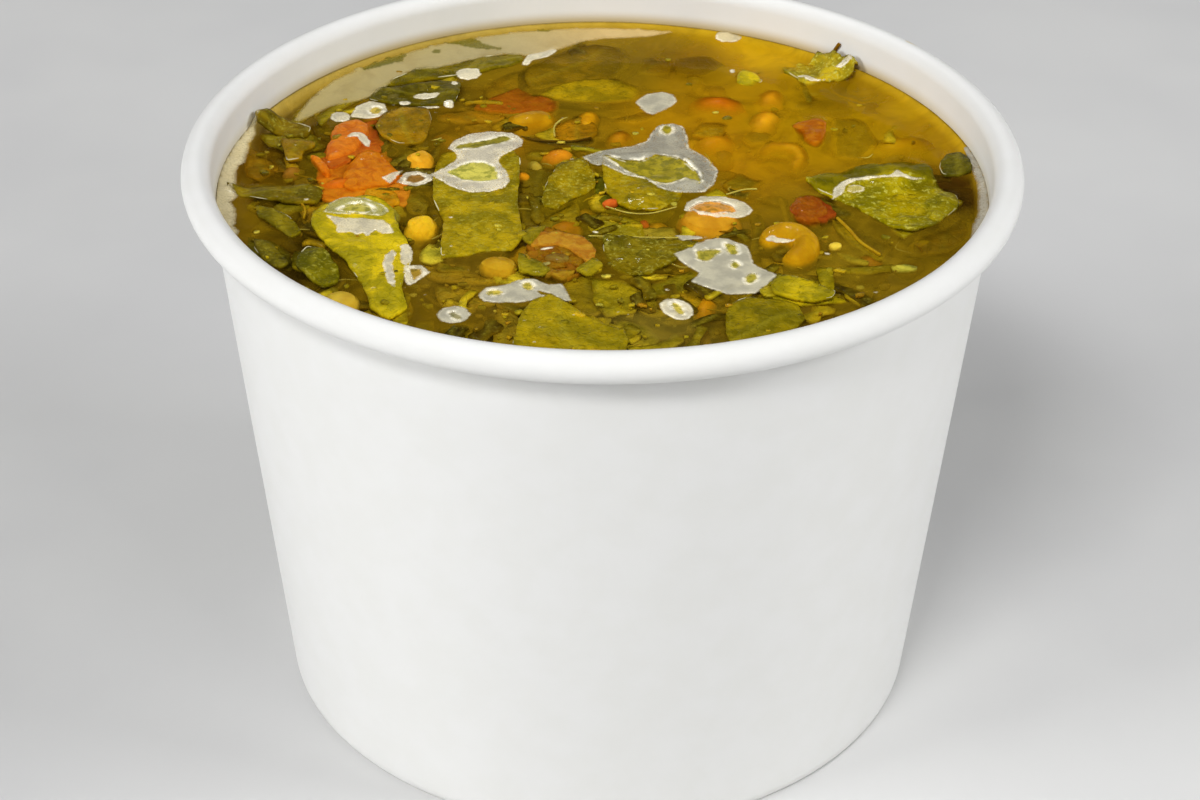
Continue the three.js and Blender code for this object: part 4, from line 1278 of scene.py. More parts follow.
def sunk_leaves(random):
    """The sunk leaves that show, then scattered scraps below them and narrow shreds between them."""
    parts = []
    for i, (depth, tone, wrinkle, speckle, outline) in enumerate(SUNK_LEAVES):
        height = tilted(LEVEL - depth, np.mean(outline, 0), random, 0.03)
        parts.append(leaf_part(outline, height, srgb(*tone), SEED + 100 + i, wrinkle, speckle, spacing=0.5))
    scraps = 0
    while scraps < SCRAP_COUNT:
        x, y, radius = place_within(41, random)
        size, turn = random.uniform(1.6, 4.2), random.uniform(0, math.pi)
        stretch, corners = random.uniform(0.5, 0.9), random.integers(5, 8)
        if random.random() < 0.8 * golden(x, y) or radius + size > 43:
            continue
        at = uneven_turns(corners, random)
        reach = size * random.uniform(0.6, 1.15, corners)
        local = np.column_stack([reach * np.cos(at), stretch * reach * np.sin(at)])
        height = tilted(LEVEL - random.uniform(1.2, 2.9), (x, y), random, 0.15)
        tone = srgb(*any_of(SCRAP_TONES, random))
        outline = turned(local, turn) + (x, y)
        parts.append(leaf_part(outline, height, tone, SEED + 200 + scraps, 0.25, 0.1, spacing=0.9))
        scraps += 1
    shreds = 0
    while shreds < SHRED_COUNT:
        x, y, radius = place_within(42, random)
        turn, length = random.uniform(0, math.pi), random.uniform(1.2, 3.4)
        width, bend = random.uniform(0.4, 1.3), random.uniform(-0.7, 0.7)
        if random.random() < 0.97 * golden(x, y) or radius + length > 43.5:
            continue
        spine = curve_through([(-length, 0), (0, bend), (length, 0)], 5)
        half = width * random.uniform(0.5, 1.1, 5)
        side = np.column_stack([0 * half, half])
        local = np.vstack([spine + side, (spine - side)[::-1]])
        height = tilted(LEVEL - random.uniform(0.05, 0.8), (x, y), random, 0.1)
        tone = srgb(*any_of(SHRED_TONES, random))
        outline = turned(local, turn) + (x, y)
        parts.append(leaf_part(outline, height, tone, SEED + 1300 + shreds, 0.15, 0.2, spacing=0.5))
        shreds += 1
    return object_from("sunk_spinach", parts, LEAF_LOOK)


def sunk_beans(random):
    """The sunk beans and lentils that show, scattered ones below them, and one curled bean."""
    parts = [bean_part(*bean, SEED + 400 + i) for i, bean in enumerate(SUNK_BEANS)]
    for i in range(BEAN_COUNT):
        x, y, _ = place_within(41, random)
        length = random.uniform(1.5, 2.6)
        parts.append(bean_part(
            x, y, random.uniform(2.0, 3.4), length, length * random.uniform(0.65, 0.95),
            random.uniform(0, 180), any_of(BEAN_TONES, random), SEED + 450 + i, detail=2,
        ))
    steps = 15
    curl = np.radians(np.linspace(-60, 150, steps))
    arc = np.column_stack([21.4 + 2.6 * np.cos(curl), 9.6 + 2.9 * np.sin(curl), np.full(steps, LEVEL - 1.6)])
    radii = 1.35 * np.sin(np.linspace(0.5, 2.8, steps)) ** 0.5
    parts.append(tube_part(arc, radii, 16, srgb(190, 138, 12)))
    return object_from("sunk_beans", parts, BEAN_LOOK)


def flesh_plates(random):
    """Thin torn flesh round the pieces that break the surface."""
    parts = []
    for i, (depth, tone, outline) in enumerate(FLESH_PLATES):
        height = tilted(LEVEL - depth, np.mean(outline, 0), random, 0.03)
        parts.append(leaf_part(
            outline, height, srgb(*tone), SEED + 520 + i, 0.12, thickness=0.9, spacing=0.3, torn=0.45,
        ))
    return object_from("torn_flesh", parts, FLESH_LOOK)


def sunk_carrots():
    """Soft pieces of tomato and carrot below the level."""
    parts = [
        bean_part(*carrot, SEED + 500 + i, bend=0.05, rough=0.16) for i, carrot in enumerate(SUNK_CARROTS)
    ]
    return object_from("sunk_carrot", parts, BEAN_LOOK)


def stems(random):
    """Thin stems and fibres at the surface, some placed and many scattered, and one dark line of painted
    shadow under a bean's husk.
    """
    brown, gold, pale = srgb(120, 84, 10), srgb(160, 126, 16), srgb(176, 160, 70)
    lines = [
        ([(28.4, 33.8, 65), (29.3, 34.2, 65.8), (29.6, 34.05, 66.6), (29.9, 33.87, 67.3), (30.3, 33.6, 68.1)],
         0.24, brown),
        ([(27.2, -7.4, 65), (28.4, -10.4, 65.1), (29.4, -13, 65), (31.4, -15.8, 64.9)], 0.2, gold),
        ([(20.9, -2.4, 64.6), (21.1, -5, 64.8), (21.3, -9, 64.6)], 0.32, gold),
        ([(-1.5, -12.3, 65.1), (3, -12.7, 65.2), (8.6, -12.6, 65.1)], 0.09, pale),
        ([(0.4, -5.6, 65.3), (3, -6.9, 65.2), (5.6, -7, 65.2), (8.6, -5.4, 65.2)], 0.09, pale),
        ([(14.6, -2, 65.1), (16.6, -1, 65.2), (18.2, -0.6, 65.1)], 0.1, pale),
        ([(-5.9, 12.9, 65), (-6, 15.2, 65.1), (-5.3, 17.2, 65), (-4.4, 18.2, 64.9)], 0.12, pale),
        # Painted shadow: a dark line in the shade under the edge of a bean's husk.
        ([(-10, 12.9, 64.9), (-8, 11.8, 65), (-4, 11.6, 65), (-1.4, 12.8, 64.9)], 0.12, srgb(84, 62, 10)),
        ([(12.4, 8.6, 64.9), (13, 6.4, 65), (12.8, 4.8, 64.9)], 0.12, gold),
        ([(-36, -3.4, 65), (-34.6, -6, 65), (-34.4, -8.4, 64.9)], 0.16, gold),
    ]
    parts = [tube_part(curve_through(path, 14), np.full(14, radius), 8, tone) for path, radius, tone in lines]
    while len(parts) < STEM_COUNT:
        x, y, _ = place_within(40, random)
        if random.random() < 0.7 * golden(x, y):
            continue
        turn, length, bend = random.uniform(0, math.pi), random.uniform(1.2, 4), random.uniform(-0.9, 0.9)
        along = np.array((math.cos(turn), math.sin(turn), random.uniform(-0.1, 0.1))) * length / 2
        middle = np.array((x, y, LEVEL - random.uniform(-0.05, 0.9)))
        side = np.array((-along[1], along[0], 0)) * bend
        path = curve_through([middle - along, middle + side, middle + along], 9)
        radii = random.uniform(0.05, 0.13) * np.sin(np.linspace(0.5, math.pi - 0.5, 9))
        parts.append(tube_part(path, radii, 6, any_of((brown, gold, pale), random)))
    return object_from("fibres", parts, BEAN_LOOK)


def crumbs(pieces, random):
    """Small scraps of leaf, skin and flesh: some on the larger pieces, the others just under the level."""
    tree = surface_tree(pieces)
    parts = []
    while len(parts) < CRUMB_COUNT:
        x, y, _ = place_within(42, random)
        under_reflection = any(inside(np.array([(x, y)]), np.array(outline))[0] for _, _, outline, *_ in REFLECTION_PATCHES)
        if under_reflection or random.random() < 0.93 * golden(x, y):
            continue
        corners = random.integers(4, 7)
        at = uneven_turns(corners, random)
        reach = random.uniform(0.2, 0.75) * random.uniform(0.5, 1.2, corners)
        outline = np.column_stack([x + reach * np.cos(at), y + 0.8 * reach * np.sin(at)])
        if random.random() < 0.25:
            top = heights_of(tree, [(x, y)], LEVEL)[0] + 0.08
        else:
            top = LEVEL - random.uniform(-0.05, 0.9)
        height = tilted(top, (x, y), random, 0.1)
        tone = srgb(*any_of(CRUMB_TONES, random))
        parts.append(leaf_part(outline, height, tone, SEED + 800 + len(parts), 0.08, 0.2, 0.3, 0.3, 0.08))
    return object_from("crumbs", parts, LEAF_LOOK)


# Colours of the painted reflections on the surface, and how solid each kind of them is.
REFLECTION_WHITE = (228, 218, 184)
REFLECTION_THIN = (202, 196, 170)
REFLECTION_CREAM = (222, 206, 160)
GLINT_RIM_TONE = (226, 220, 178)
BAND_BODY = 0.8
THIN_BODY = 0.88
REFLECTION_BODY = 0.92
GLINT_BODY = 0.95
HOLE_BODY = 0.98

# The cream-coloured band at the back wall, a painted reflection of the wall in the broth: its ends in
# degrees, the radii of its outer and inner edge in even steps between the ends, and its colour at three
# places along x.
CREAM_ENDS = (157, 78)
CREAM_OUTER = (41.6, 42.4, 43.1, 43.7, 44, *[44.2] * 16)
CREAM_INNER = (
    40.6, 40, 39.6, 38, 36.9, 37.6, 38.6, 38.9, 38, 37.8, 37.9, 37.8, 38, 36.8, 37.4, 38.4, 40.3, 41, 41.5,
    42.2, 43.8,
)
CREAM_COLOURS = {-34: (188, 170, 106), -14: (178, 163, 110), 0: (208, 180, 116)}

# Scraps of leaf that show through the cream band: their colour and outlines.
CREAM_SCRAP = (112, 104, 2)
CREAM_SCRAPS = [
    [(-31.4, 32), (-28.6, 34.8), (-25.5, 36), (-26.2, 33.6), (-28, 32.2), (-30.6, 30.8)],
    [(-21.6, 39), (-18.5, 40.8), (-16.9, 40.2), (-13.4, 37.6), (-16.6, 37.6), (-19.1, 38.6)],
    [(-11.6, 43.4), (-6.4, 44.4), (-5.4, 43.8), (-8.4, 42.8)],
    [(-22.4, 36.6), (-21.4, 37.2), (-21, 36.4), (-22, 36)],
]

# Pale bands along the wall at the right and left, a painted reflection of the wall with froth specks: their
# ends in degrees, width, colour, grain and body.
SHORE_BANDS = [
    ((-62, 12), 1.7, (186, 180, 162), 0.5, 0.84),
    ((160, 208), 2.4, (220, 208, 166), 0.4, BAND_BODY),
]


def oval(x, y, half_width, half_height, turn=0):
    """The corners of an oval outline."""
    at = turns(8)
    c, s = math.cos(math.radians(turn)), math.sin(math.radians(turn))
    u, v = half_width * np.cos(at), half_height * np.sin(at)
    return [(x + a * c - b * s, y + a * s + b * c) for a, b in zip(u, v)]


# Painted reflections of the light on the wet surface over the pieces, with froth specks, and a few painted
# glints on single pieces: colour, grain, outer outline, the holes in it, and the colours seen in the holes.
REFLECTION_PATCHES = [
    ((226, 217, 190), 1.0, [
        (-18.8, 9.3), (-18.2, 11.5), (-16.6, 13.3), (-14, 14.2), (-11.3, 13.9), (-9.7, 12.2),
        (-9.8, 10.3), (-10.9, 8.7), (-12.2, 7.3), (-12.4, 5.8), (-11.5, 3.5), (-10.9, 1), (-11.6, -0.9),
        (-13.6, -2), (-16, -2.1), (-18.2, -0.8), (-20.2, 1.8), (-20.4, 2.6), (-18.8, 4.4), (-17.6, 6.4),
        (-17.9, 8.1),
    ], [
        [
            (-17.9, 9.1), (-15.2, 9.6), (-12.6, 10.8), (-11.2, 12.1), (-12, 12.9), (-13.8, 11.8),
            (-15.6, 11), (-17.4, 10.3),
        ],
        [(-18.3, 3), (-16.3, 5.2), (-14.4, 5.6), (-13, 4.3), (-12.5, 1.6), (-14.4, 0.9), (-16.6, 1.2)],
    ], (166, 152, 34), (224, 214, 92)),
    ((206, 196, 164), 0.6, [(-24.3, 0.4), (-23.4, 3), (-22, 3.4), (-20.4, 2.3), (-20, 0.8), (-22, -0.5)],
        [[(-23.3, 0.8), (-22.8, 2), (-21.8, 2.4), (-21, 1.4), (-22, 0.4)]], (170, 122, 40)),
    ((178, 173, 152), 1.0, [
        (-2.5, 7.6), (0, 9.4), (3.5, 10.6), (5.2, 12), (6, 14.6), (7, 16.4), (8.6, 16.8), (9.9, 16),
        (10.4, 13.5), (10.6, 10.2), (12.6, 7.6), (13.8, 4.4), (13.3, 0.8), (11.8, -1.4), (9, -1.7),
        (6.5, -1.2), (5.6, 0.2), (4.9, 1.4), (3.4, 2.1), (0.8, 3.6), (-1.4, 5.8),
    ], [
        [(0.2, 7.2), (2.4, 6.4), (4.6, 6.2), (6.4, 7.5), (8.2, 7.2), (9.6, 5.2), (11, 3), (11.5, 0.9),
         (9.8, 1.8), (8, 0.6), (6.3, 0.3), (5.4, 1.6), (4.2, 2.6), (2.6, 4), (1.2, 5.8)],
        oval(7.9, 14.9, 0.55, 1.2),
    ], (180, 162, 26)),
    (REFLECTION_WHITE, 0.4, [
        (9.4, -5.8), (9.9, -3.6), (11.6, -2.1), (14.2, -2.1), (16.6, -3.3), (17.6, -5.4), (16.6, -7.2),
        (15.2, -7.9), (13.2, -8.9), (11.2, -8.4), (10.2, -6.9),
    ], [[
        (10.3, -5.4), (11.4, -3.9), (13.6, -3.5), (15, -4.4), (15.3, -6), (14.4, -7), (12.8, -8.1),
        (11.2, -7.4),
    ]], (250, 176, 60)),
    (REFLECTION_THIN, 0.1, [
        (7.9, -17), (10.2, -15), (11.8, -12.8), (14.1, -12.4), (16.6, -14.4), (17.1, -18.3),
        (19.5, -20.8), (18.3, -23.1), (17, -25), (13.7, -25.2), (9.9, -22.4), (10.8, -20.5),
        (8.9, -18.3),
    ], [
        [(10.8, -15.8), (12.2, -15.2), (13.4, -15.4), (12.8, -16.2), (11.8, -17.6), (10.8, -17.2)],
        [(14, -13.8), (15, -14.2), (15.3, -16), (14.6, -16), (14.2, -15)],
        oval(14.9, -18.6, 0.35, 0.7), oval(16.6, -21.6, 0.5, 1.1, -20),
    ], (196, 180, 60)),
    (REFLECTION_THIN, 0.3, [
        (-13.6, -25.6), (-12.7, -24), (-10.6, -23.3), (-9.2, -22.2), (-7.4, -22), (-5.9, -23.2),
        (-4.5, -23), (-3.9, -24.2), (-3.2, -27), (-4, -27.4), (-5.5, -25.7), (-7, -24.8), (-6, -26.6),
        (-8.4, -27.3), (-11, -27.4), (-12.9, -27.1),
    ], [oval(-11.8, -25.2, 0.75, 0.5), oval(-8.1, -23.7, 0.45, 0.8, 20)], (216, 194, 70)),
    (REFLECTION_THIN, 0.2, oval(-16, -30, 1.9, 1.9), [oval(-15.8, -30.3, 0.35, 0.8, 30)], (170, 160, 110)),
    (REFLECTION_WHITE, 0.2, oval(8.2, -28.4, 1.75, 2.5, 25), [oval(8.3, -28.3, 0.35, 1.4, 20)], (226, 204, 80)),
    (REFLECTION_THIN, 0.3, [
        (4, 22.4), (5.3, 24.6), (7.3, 25.5), (8.9, 24.7), (9.3, 22.6), (8.2, 20.8), (6.2, 18.9),
        (5.2, 19.6),
    ], []),
    (REFLECTION_WHITE, 0.5, [
        (-31.8, -8.2), (-30, -8.6), (-27.5, -8.2), (-25.3, -8.9), (-24.2, -10.5), (-23.7, -12.4),
        (-25, -12.5), (-25.9, -11.3), (-26.7, -13.2), (-27.2, -12), (-28, -12.6), (-28.6, -11.8),
        (-29.4, -12.2), (-30.2, -12.2), (-30.6, -10.2), (-31.4, -9.2),
    ], []),
    ((176, 170, 96), 1.0, [
        (-32.2, -7.4), (-31.9, -4.8), (-30.4, -3.7), (-27.5, -4.3), (-25.5, -5.2), (-24.6, -6.8),
        (-25.6, -7.9), (-28, -7.4), (-30.6, -7.8),
    ], [[(-30.4, -6.4), (-29, -5.6), (-27, -5.8), (-26.6, -6.6), (-28.6, -6.8)]], (190, 178, 60)),
    (REFLECTION_WHITE, 0.2, [
        (-24.5, -19.2), (-24.4, -17), (-23.6, -15.4), (-23.1, -16.4), (-23.3, -19), (-22.8, -22.4),
        (-22.6, -24.8), (-23.6, -23.6),
    ], []),
    (REFLECTION_WHITE, 0.3, [
        (-22.8, -15), (-22, -14.7), (-21.3, -16), (-21.2, -18), (-21.8, -19.6), (-22.5, -19),
    ], []),
    (REFLECTION_WHITE, 0.5, [
        (-22, -19.8), (-20.3, -19), (-19.1, -20.6), (-20.2, -22.6), (-21.3, -24), (-22, -22.4),
    ],
        [[(-21.4, -20.4), (-20.4, -20.1), (-20, -21), (-20.8, -22.4)]], (200, 160, 40)),
    (REFLECTION_WHITE, 0.4, oval(-32.5, 17.5, 1.3, 1.7, 20), []),
    (REFLECTION_WHITE, 0.3, [
        (-31.3, 17.6), (-30.9, 20.6), (-29.2, 21.9), (-27.4, 21.2), (-26.8, 19.3), (-27.8, 17.5),
        (-29.5, 17),
    ],
        [oval(-28.3, 19.4, 0.6, 1.0, 10)], (220, 190, 70)),
    (REFLECTION_WHITE, 0.3, oval(-17.3, 30.2, 1.7, 1.7), []),
    (REFLECTION_WHITE, 0.3, oval(-22.2, 23.6, 1.8, 0.9, 10), []),
    (REFLECTION_WHITE, 0.3, oval(-24.8, 21.5, 0.8, 0.6), []),
    (REFLECTION_WHITE, 0.3, oval(-21.9, 20.4, 1.6, 0.35, 5), []),
    (REFLECTION_WHITE, 0.3, oval(-19.3, 21.4, 0.7, 0.9, 20), []),
    (REFLECTION_WHITE, 0.3, oval(-18.9, 27.2, 0.5, 0.7), []),
    (REFLECTION_WHITE, 0.2, oval(16.6, 31.7, 0.4, 0.7), []),
    (REFLECTION_WHITE, 0.3, [
        (-10.6, 33), (-9.8, 36.3), (-7.7, 37.5), (-6.5, 38.9), (-6, 37.5), (-7.2, 35.6), (-9, 34.4),
        (-9.8, 32.8),
    ], []),
    (REFLECTION_WHITE, 0.6, [
        (26.8, -2.6), (27.2, 0.2), (28.6, 1.8), (31, 2.7), (34, 3), (35, 3.9), (36.4, 2.9), (38.6, 2.9),
        (36.8, 2.3), (33.2, 2.3), (30.4, 1.7), (28.8, 0.7), (28.2, -1.2),
    ], []),
    ((206, 190, 100), 0.8, oval(29.8, -0.3, 1.2, 1.0, 20), []),
    (REFLECTION_THIN, 0.1, [(8.2, -12), (10, -11.8), (12.2, -12.2), (11, -12.8), (9.2, -13.4)], []),
    (REFLECTION_WHITE, 0.2, [
        (-31.3, 11.1), (-30.7, 12.5), (-29.2, 12.8), (-28.3, 11.7), (-28.3, 9.8), (-29, 10.4),
        (-29.9, 11.7),
    ], []),
    (REFLECTION_WHITE, 0.3, oval(-6.2, -15.2, 0.9, 0.3, 20), []),
    (REFLECTION_WHITE, 0.7, [(-26.2, 1.4), (-25.1, 2.8), (-23.7, 3.6), (-24.2, 2.1), (-25.1, 0.1)], []),
    (REFLECTION_WHITE, 0.2, [(18, -12.5), (19.2, -11.9), (21, -12.2), (22, -13), (20.9, -13.2), (19.1, -13)], []),
    (REFLECTION_WHITE, 0.6, [
        (24.6, 30.6), (26, 30.8), (27.6, 29.4), (29.4, 28.6), (27.6, 28.8), (25.6, 29.2),
    ], []),
    (REFLECTION_WHITE, 0.6, [(29.4, 30.6), (31, 31.2), (32.4, 31.6), (31.4, 30.4), (30.2, 29.9)], []),
    (REFLECTION_CREAM, 0.1, [(14.7, 41), (14.9, 42.3), (16.2, 42.2), (18.2, 41), (17.6, 40.2), (15.6, 40.3)], []),
]


def skin_part(tone, grain, outline, holes, tree, seed, body, under=0.0):
    """A patch as a closed skin on the surface, thinner towards its edges but not at the wall.

    One that fills a hole reaches a little way under the patch round it.
    """
    loop = ragged(smooth_loop(outline, SKIN_SPACING), 0.8, 0.1, seed)
    if under:
        loop = grown(loop, under)
    reach = np.linalg.norm(loop, axis=1)
    loop *= np.minimum(1, SHORE / reach)[:, None]
    rings = [ragged(smooth_loop(hole, SKIN_SPACING), 0.8, 0.12, seed + 1) for hole in holes]
    points, faces = flat_mesh(loop, SKIN_SPACING, rings)
    free = loop[np.linalg.norm(loop, axis=1) < SHORE - WALL_BAND]
    outer = np.linalg.norm(points[:, None] - free[None], axis=2).min(1)
    inner = np.min([distance_to(points, ring) for ring in rings], 0) if rings else np.full(len(points), 9.0)
    if len(free) == len(loop):
        points[:, 1] -= SIGHT_SHIFT * (heights_of(tree, points, LEVEL).mean() - LEVEL)
    base = heights_of(tree, points, LEVEL)
    neighbours = [[] for _ in points]
    for a, b, c in faces.tolist():
        neighbours[a] += (b, c)
        neighbours[b] += (c, a)
        neighbours[c] += (a, b)
    smooth = base.copy()
    for _ in range(4):
        smooth = np.maximum(base, np.array([smooth[near].mean() for near in neighbours]))
    gap, thinnest, step, swell = 0.01, 0.03, 0.02, 0.08
    thicker = 0.0 if under else step + swell * smoothstep(np.minimum(outer, inner), 0, 0.7)
    skin_points, skin_faces = slab(points, faces, smooth + thinnest + thicker, smooth + gap)
    place = np.tile(np.column_stack([outer, inner, np.full(len(points), body)]), (2, 1))
    return skin_points, skin_faces, values_for(len(skin_points), srgb(*tone), grain, place)


def shore_outline(start, end, outer, inner):
    """A band along the wall between two azimuths in degrees, with the radii of its outer and inner edge."""
    at = np.radians(np.linspace(start, end, len(inner)))
    out = [(r * math.cos(a), r * math.sin(a)) for r, a in zip(np.broadcast_to(outer, len(inner)), at)]
    back = [(r * math.cos(a), r * math.sin(a)) for r, a in zip(inner, at)]
    return out + back[::-1]


def painted_glint_edges(tree, random):
    """Painted glints: thin bright rims along short stretches of the leaves' edges."""
    parts = []
    for node in LEAF_LOOKS:
        loop = smooth_loop(node_top(node)[1], 0.3)
        for _ in range(1 + len(loop) // 70):
            start, count = random.integers(len(loop)), random.integers(5, 13)
            stretch = loop[(start + np.arange(count)) % len(loop)]
            height = heights_of(tree, stretch, LEVEL).mean() + 0.05
            path = np.column_stack([stretch, np.full(count, height)])
            radii = random.uniform(0.04, 0.09) * np.sin(np.linspace(0.4, math.pi - 0.4, count))
            parts.append(tube_part(path, radii, 6, srgb(*GLINT_RIM_TONE), 0.2, (9, 9, 0.9)))
    return parts


def cream_band(tree):
    """The cream band at the back wall, a painted reflection of the wall, with scraps of leaf showing through
    it.
    """
    outline = shore_outline(*CREAM_ENDS, CREAM_OUTER, CREAM_INNER)
    points, faces, values = skin_part((0, 0, 0), 0.1, outline, [], tree, SEED + 700, BAND_BODY)
    stops = np.array([srgb(*colour) for colour in CREAM_COLOURS.values()])
    for k in range(3):
        values[:, k] = np.interp(points[:, 0], list(CREAM_COLOURS), stops[:, k])
    for scrap in CREAM_SCRAPS:
        shows = inside(points[:, :2], ragged(smooth_loop(scrap, SKIN_SPACING), 1.2, 0.4, SEED + 705))
        values[shows, :3] = srgb(*CREAM_SCRAP)[:3]
    return points, faces, values


def reflection_skins(pieces):
    """All painted reflections with their froth specks: the patches and their filled holes, the band at the
    back wall, the pale bands along the wall, painted glints along the leaves' edges and small painted glints.
    """
    tree = surface_tree(pieces)
    random = np.random.default_rng(SEED + 5)
    parts = []
    for i, (tone, grain, outline, holes, *fills) in enumerate(REFLECTION_PATCHES):
        body = THIN_BODY if tone == REFLECTION_THIN else REFLECTION_BODY
        parts.append(skin_part(tone, grain, outline, holes, tree, SEED + 600 + i, body))
        for k, hole in enumerate(holes):
            fill = fills[min(k, len(fills) - 1)]
            parts.append(skin_part(fill, 0.35, hole, [], tree, SEED + 650 + i, HOLE_BODY, HOLE_LAP))
    parts.append(cream_band(tree))
    taper = np.sin(np.linspace(0.12, math.pi - 0.12, 26)) ** 0.5
    for i, (ends, width, tone, grain, body) in enumerate(SHORE_BANDS):
        inner = SHORE - width * taper * random.uniform(0.75, 1.1, 26)
        outline = shore_outline(*ends, SHORE, inner)
        parts.append(skin_part(tone, grain, outline, [], tree, SEED + 710 + 2 * i, body))
    parts += painted_glint_edges(tree, random)
    # Small painted glints scattered over the surface.
    for i in range(GLINT_COUNT):
        x, y, _ = place_within(42, random)
        size = random.uniform(0.12, 0.36)
        if random.random() < golden(x, y):
            continue
        painted_glint = oval(x, y, size, size * random.uniform(0.4, 0.8), random.uniform(-40, 40))
        parts.append(skin_part(REFLECTION_WHITE, 0.0, painted_glint, [], tree, SEED + 720 + i, GLINT_BODY))
    reflection_skin = object_from("reflection_skin", parts, REFLECTION_LOOK)
    reflection_skin.visible_shadow = False
    return reflection_skin


# Body of the soup.

def disc_grid(radii, segments):
    """Points and faces of a disc of rings about one middle point."""
    angles = turns(segments)
    flat = np.array([(0, 0)] + [(r * math.cos(a), r * math.sin(a)) for r in radii for a in angles])
    faces = [(0, 1 + s, 1 + (s + 1) % segments) for s in range(segments)]
    for k in range(len(radii) - 1):
        here, there = 1 + k * segments, 1 + (k + 1) * segments
        faces += [
            (here + s, there + s, there + (s + 1) % segments, here + (s + 1) % segments)
            for s in range(segments)
        ]
    return flat, faces


def closed_below(flat, faces, top, segments, levels):
    """The disc with a side wall and a bottom: levels are pairs of radius and height."""
    points, faces = [np.column_stack([flat, top])], list(faces)
    angles = turns(segments)
    high, count = len(flat) - segments, len(flat)
    for radius, z in levels:
        ring = (radius * np.cos(angles), radius * np.sin(angles), np.full(segments, z))
        points.append(np.column_stack(ring))
        faces += [
            (high + s, count + s, count + (s + 1) % segments, high + (s + 1) % segments)
            for s in range(segments)
        ]
        high, count = count, count + segments
    points.append([[0, 0, levels[-1][1]]])
    faces += [(high + s, count, high + (s + 1) % segments) for s in range(segments)]
    return np.vstack(points), faces


def wall_inside(z):
    """Radius that the soup fills at a height, just clear of the paper."""
    return wall_middle(z) - PAPER / 2 - WAVE - 0.05


def soup_core():
    """The body of the soup: cloudy from a few millimetres below the level down to the base."""
    segments = 200
    shore = SHORE - 0.05
    flat, faces = disc_grid(shore * np.linspace(0, 1, 91)[1:] ** 0.9, segments)
    radius = np.linalg.norm(flat, axis=1)
    deepest, golden_rise = 3.8, 1.1
    depth = deepest - golden_rise * golden(flat[:, 0], flat[:, 1])
    low = LEVEL - depth + 0.6 * bumps(flat, 7.5, SEED + 80, 3)
    rise = np.clip((radius - (shore - 1.5)) / 1.4, 0, 1) ** 2
    top = low + (LEVEL + MENISCUS_RISE - 0.2 - low) * rise
    levels = [(wall_inside(z), z) for z in (60, 40, 20, BROTH_FLOOR + 1)]
    levels.append((wall_inside(BROTH_FLOOR) - 0.6, BROTH_FLOOR))
    points, faces = closed_below(flat, faces, top, segments, levels)
    return mesh_object("soup_depth", points, faces, CORE_LOOK)


def surface_tree(pieces):
    """One search tree over the faces of several objects, in millimetres."""
    points, faces, start = [], [], 0
    for obj in pieces:
        points += [tuple(v.co / MM) for v in obj.data.vertices]
        faces += [tuple(i + start for i in f.vertices) for f in obj.data.polygons]
        start = len(points)
    return BVHTree.FromPolygons(points, faces)


def heights_of(tree, flat, missing):
    """The height of the highest face over each flat point."""
    hits = [tree.ray_cast(Vector((x, y, 80)), Vector((0, 0, -1)))[0] for x, y in flat]
    return np.array([missing if hit is None else hit.z for hit in hits])


def depth_seen(tree, points):
    """How deep the first face lies below each surface point, looking down at the usual serving angle."""
    start = SIGHT * 0.9
    depths = []
    for x, y, z in points:
        hit = tree.ray_cast(Vector((x, y, z)) + start, -SIGHT)[0]
        depths.append(5.0 if hit is None else z - hit.z)
    return np.clip(depths, 0, 5)


def liquid_top(floating, sunk):
    """The clear top of the broth, drawn up a little round every piece and at the wall."""
    near = []
    for obj in floating:
        places = np.array([v.co for v in obj.data.vertices]) / MM
        near.append(places[np.abs(places[:, 2] - LEVEL) < 0.35][:, :2])
    near = np.concatenate(near)
    tree = KDTree(len(near))
    for i, p in enumerate(near):
        tree.insert((p[0], p[1], 0), i)
    tree.balance()
    segments = 360
    flat, faces = disc_grid(SHORE * np.linspace(0, 1, 151)[1:], segments)
    away = np.array([tree.find((p[0], p[1], 0))[2] for p in flat])
    radius = np.linalg.norm(flat, axis=1)
    piece_rise, piece_reach, wall_reach = 0.2, 0.9, 1.1
    top = LEVEL + piece_rise * np.exp(-away / piece_reach)
    top += MENISCUS_RISE * np.exp(-(SHORE - radius) / wall_reach)
    top += 0.03 * bumps(flat, 6, SEED + 90)
    below = depth_seen(surface_tree(floating + sunk), np.column_stack([flat, top]))
    rings = below[1:].reshape(-1, segments)
    for _ in range(3):
        padded = np.vstack([rings[:1], rings, rings[-1:]])
        rings = (2 * rings + padded[:-2] + padded[2:] + np.roll(rings, 1, 1) + np.roll(rings, -1, 1)) / 6
    below[1:] = rings.ravel()
    points, faces = closed_below(flat, faces, top, segments, [(wall_inside(57) - 0.3, 57)])
    values = values_for(len(points), (0, 0, 0))
    values[:len(flat), 6] = below
    return object_from("clear_broth", [(points, faces, values)], LIQUID_LOOK)


# Camera and light.

def make_camera():
    """The camera in front of the cup, looking down at about 33 degrees."""
    focal_px, image_width, sensor = 2550, 1200, 36
    elevation, roll = math.radians(32.69), math.radians(0.492)
    place = Vector((-0.0735, -267.19, 206.43)) * MM
    data = bpy.data.cameras.new("camera")
    data.sensor_width = sensor
    data.lens = focal_px / image_width * sensor
    data.clip_start = 0.01
    data.clip_end = 50
    camera = bpy.data.objects.new("camera", data)
    turn = Matrix.Rotation(math.pi / 2 - elevation, 4, "X") @ Matrix.Rotation(roll, 4, "Z")
    camera.matrix_world = Matrix.Translation(place) @ turn
    bpy.context.scene.collection.objects.link(camera)
    bpy.context.scene.camera = camera


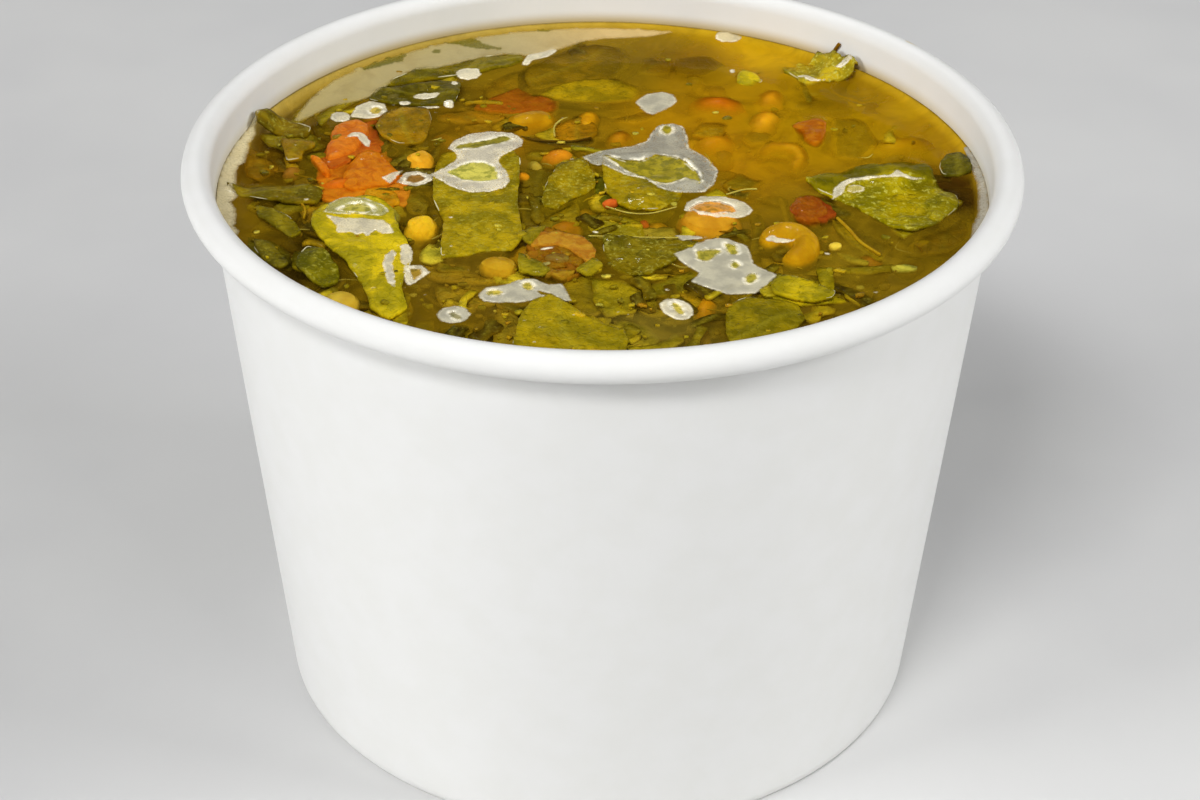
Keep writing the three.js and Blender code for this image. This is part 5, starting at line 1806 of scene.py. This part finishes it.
def area_light(name, azimuth, elevation, away, size, power, gloss=False):
    """A soft rectangular light aimed at the cup from a direction in degrees."""
    data = bpy.data.lights.new(name, "AREA")
    data.shape = "RECTANGLE"
    data.size, data.size_y = size
    data.energy = power
    light = bpy.data.objects.new(name, data)
    turn, lift = math.radians(azimuth), math.radians(elevation)
    aim = Vector((0, 0, 0.05))
    towards = Vector((math.cos(turn) * math.cos(lift), math.sin(turn) * math.cos(lift), math.sin(lift)))
    light.location = aim + towards * away
    light.rotation_euler = (-towards).to_track_quat("-Z", "Y").to_euler()
    light.visible_glossy = gloss
    light.visible_diffuse = not gloss
    bpy.context.scene.collection.objects.link(light)


def make_stage():
    """Plain pale floor and soft studio light."""
    shade = Shading("pale_floor")
    colour = shade.mix(shade.span(shade.noise(60, 3.0), 0.3, 0.7), srgb(212, 212, 212), srgb(219, 219, 218))
    shade.surface(Base_Color=colour, Roughness=0.75, Specular_IOR_Level=0.2)
    half = 4000
    corners = [(-half, -half, 0), (half, -half, 0), (half, half, 0), (-half, half, 0)]
    mesh_object("floor", corners, [(0, 1, 2, 3)], shade.material, smooth=False)
    world = bpy.data.worlds.new("studio")
    world.use_nodes = True
    sky = world.node_tree.nodes["Background"]
    sky.inputs["Color"].default_value = (0.9, 0.95, 1.0, 1)
    sky.inputs["Strength"].default_value = 0.02
    bpy.context.scene.world = world
    area_light("front", -112, 50, 1.4, (0.4, 0.25), 8.6)
    area_light("left", -158, 22, 1.4, (0.5, 0.35), 9.8)
    area_light("front_right", -50, 30, 1.4, (0.5, 0.35), 2.6)
    area_light("right", -12, 32, 1.4, (0.5, 0.35), 8.4)
    area_light("overhead", -90, 82, 1.4, (0.8, 0.5), 1.4)
    area_light("back_right", 25, 55, 1.4, (0.5, 0.35), 1.8)
    area_light("glint", 108, 58, 1.45, (0.18, 0.13), 4.6, gloss=True)
    bpy.context.scene.view_settings.view_transform = "Standard"


make_camera()
make_stage()

wall = cup_wall()
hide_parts("cup_wall")
base = cup_base()
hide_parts("cup_base")

leaves = surface_leaves()
chunks = surface_chunks()
beans = surface_beans()
core = soup_core()
draws = np.random.default_rng(SEED)
sunk = [sunk_leaves(draws), sunk_beans(draws), sunk_carrots(), flesh_plates(draws)]
liquid = liquid_top(leaves + chunks + beans, sunk)
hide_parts("broth")
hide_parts("broth")
threads = stems(draws)
scraps = crumbs([liquid, *leaves, *chunks, *beans], draws)
skin = reflection_skins([liquid, *leaves, *chunks, *beans, sunk[0], sunk[3]])
for piece in [wall, base, core, liquid, *leaves, *chunks, *beans, *sunk, threads, scraps, skin]:
    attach(piece, "root")
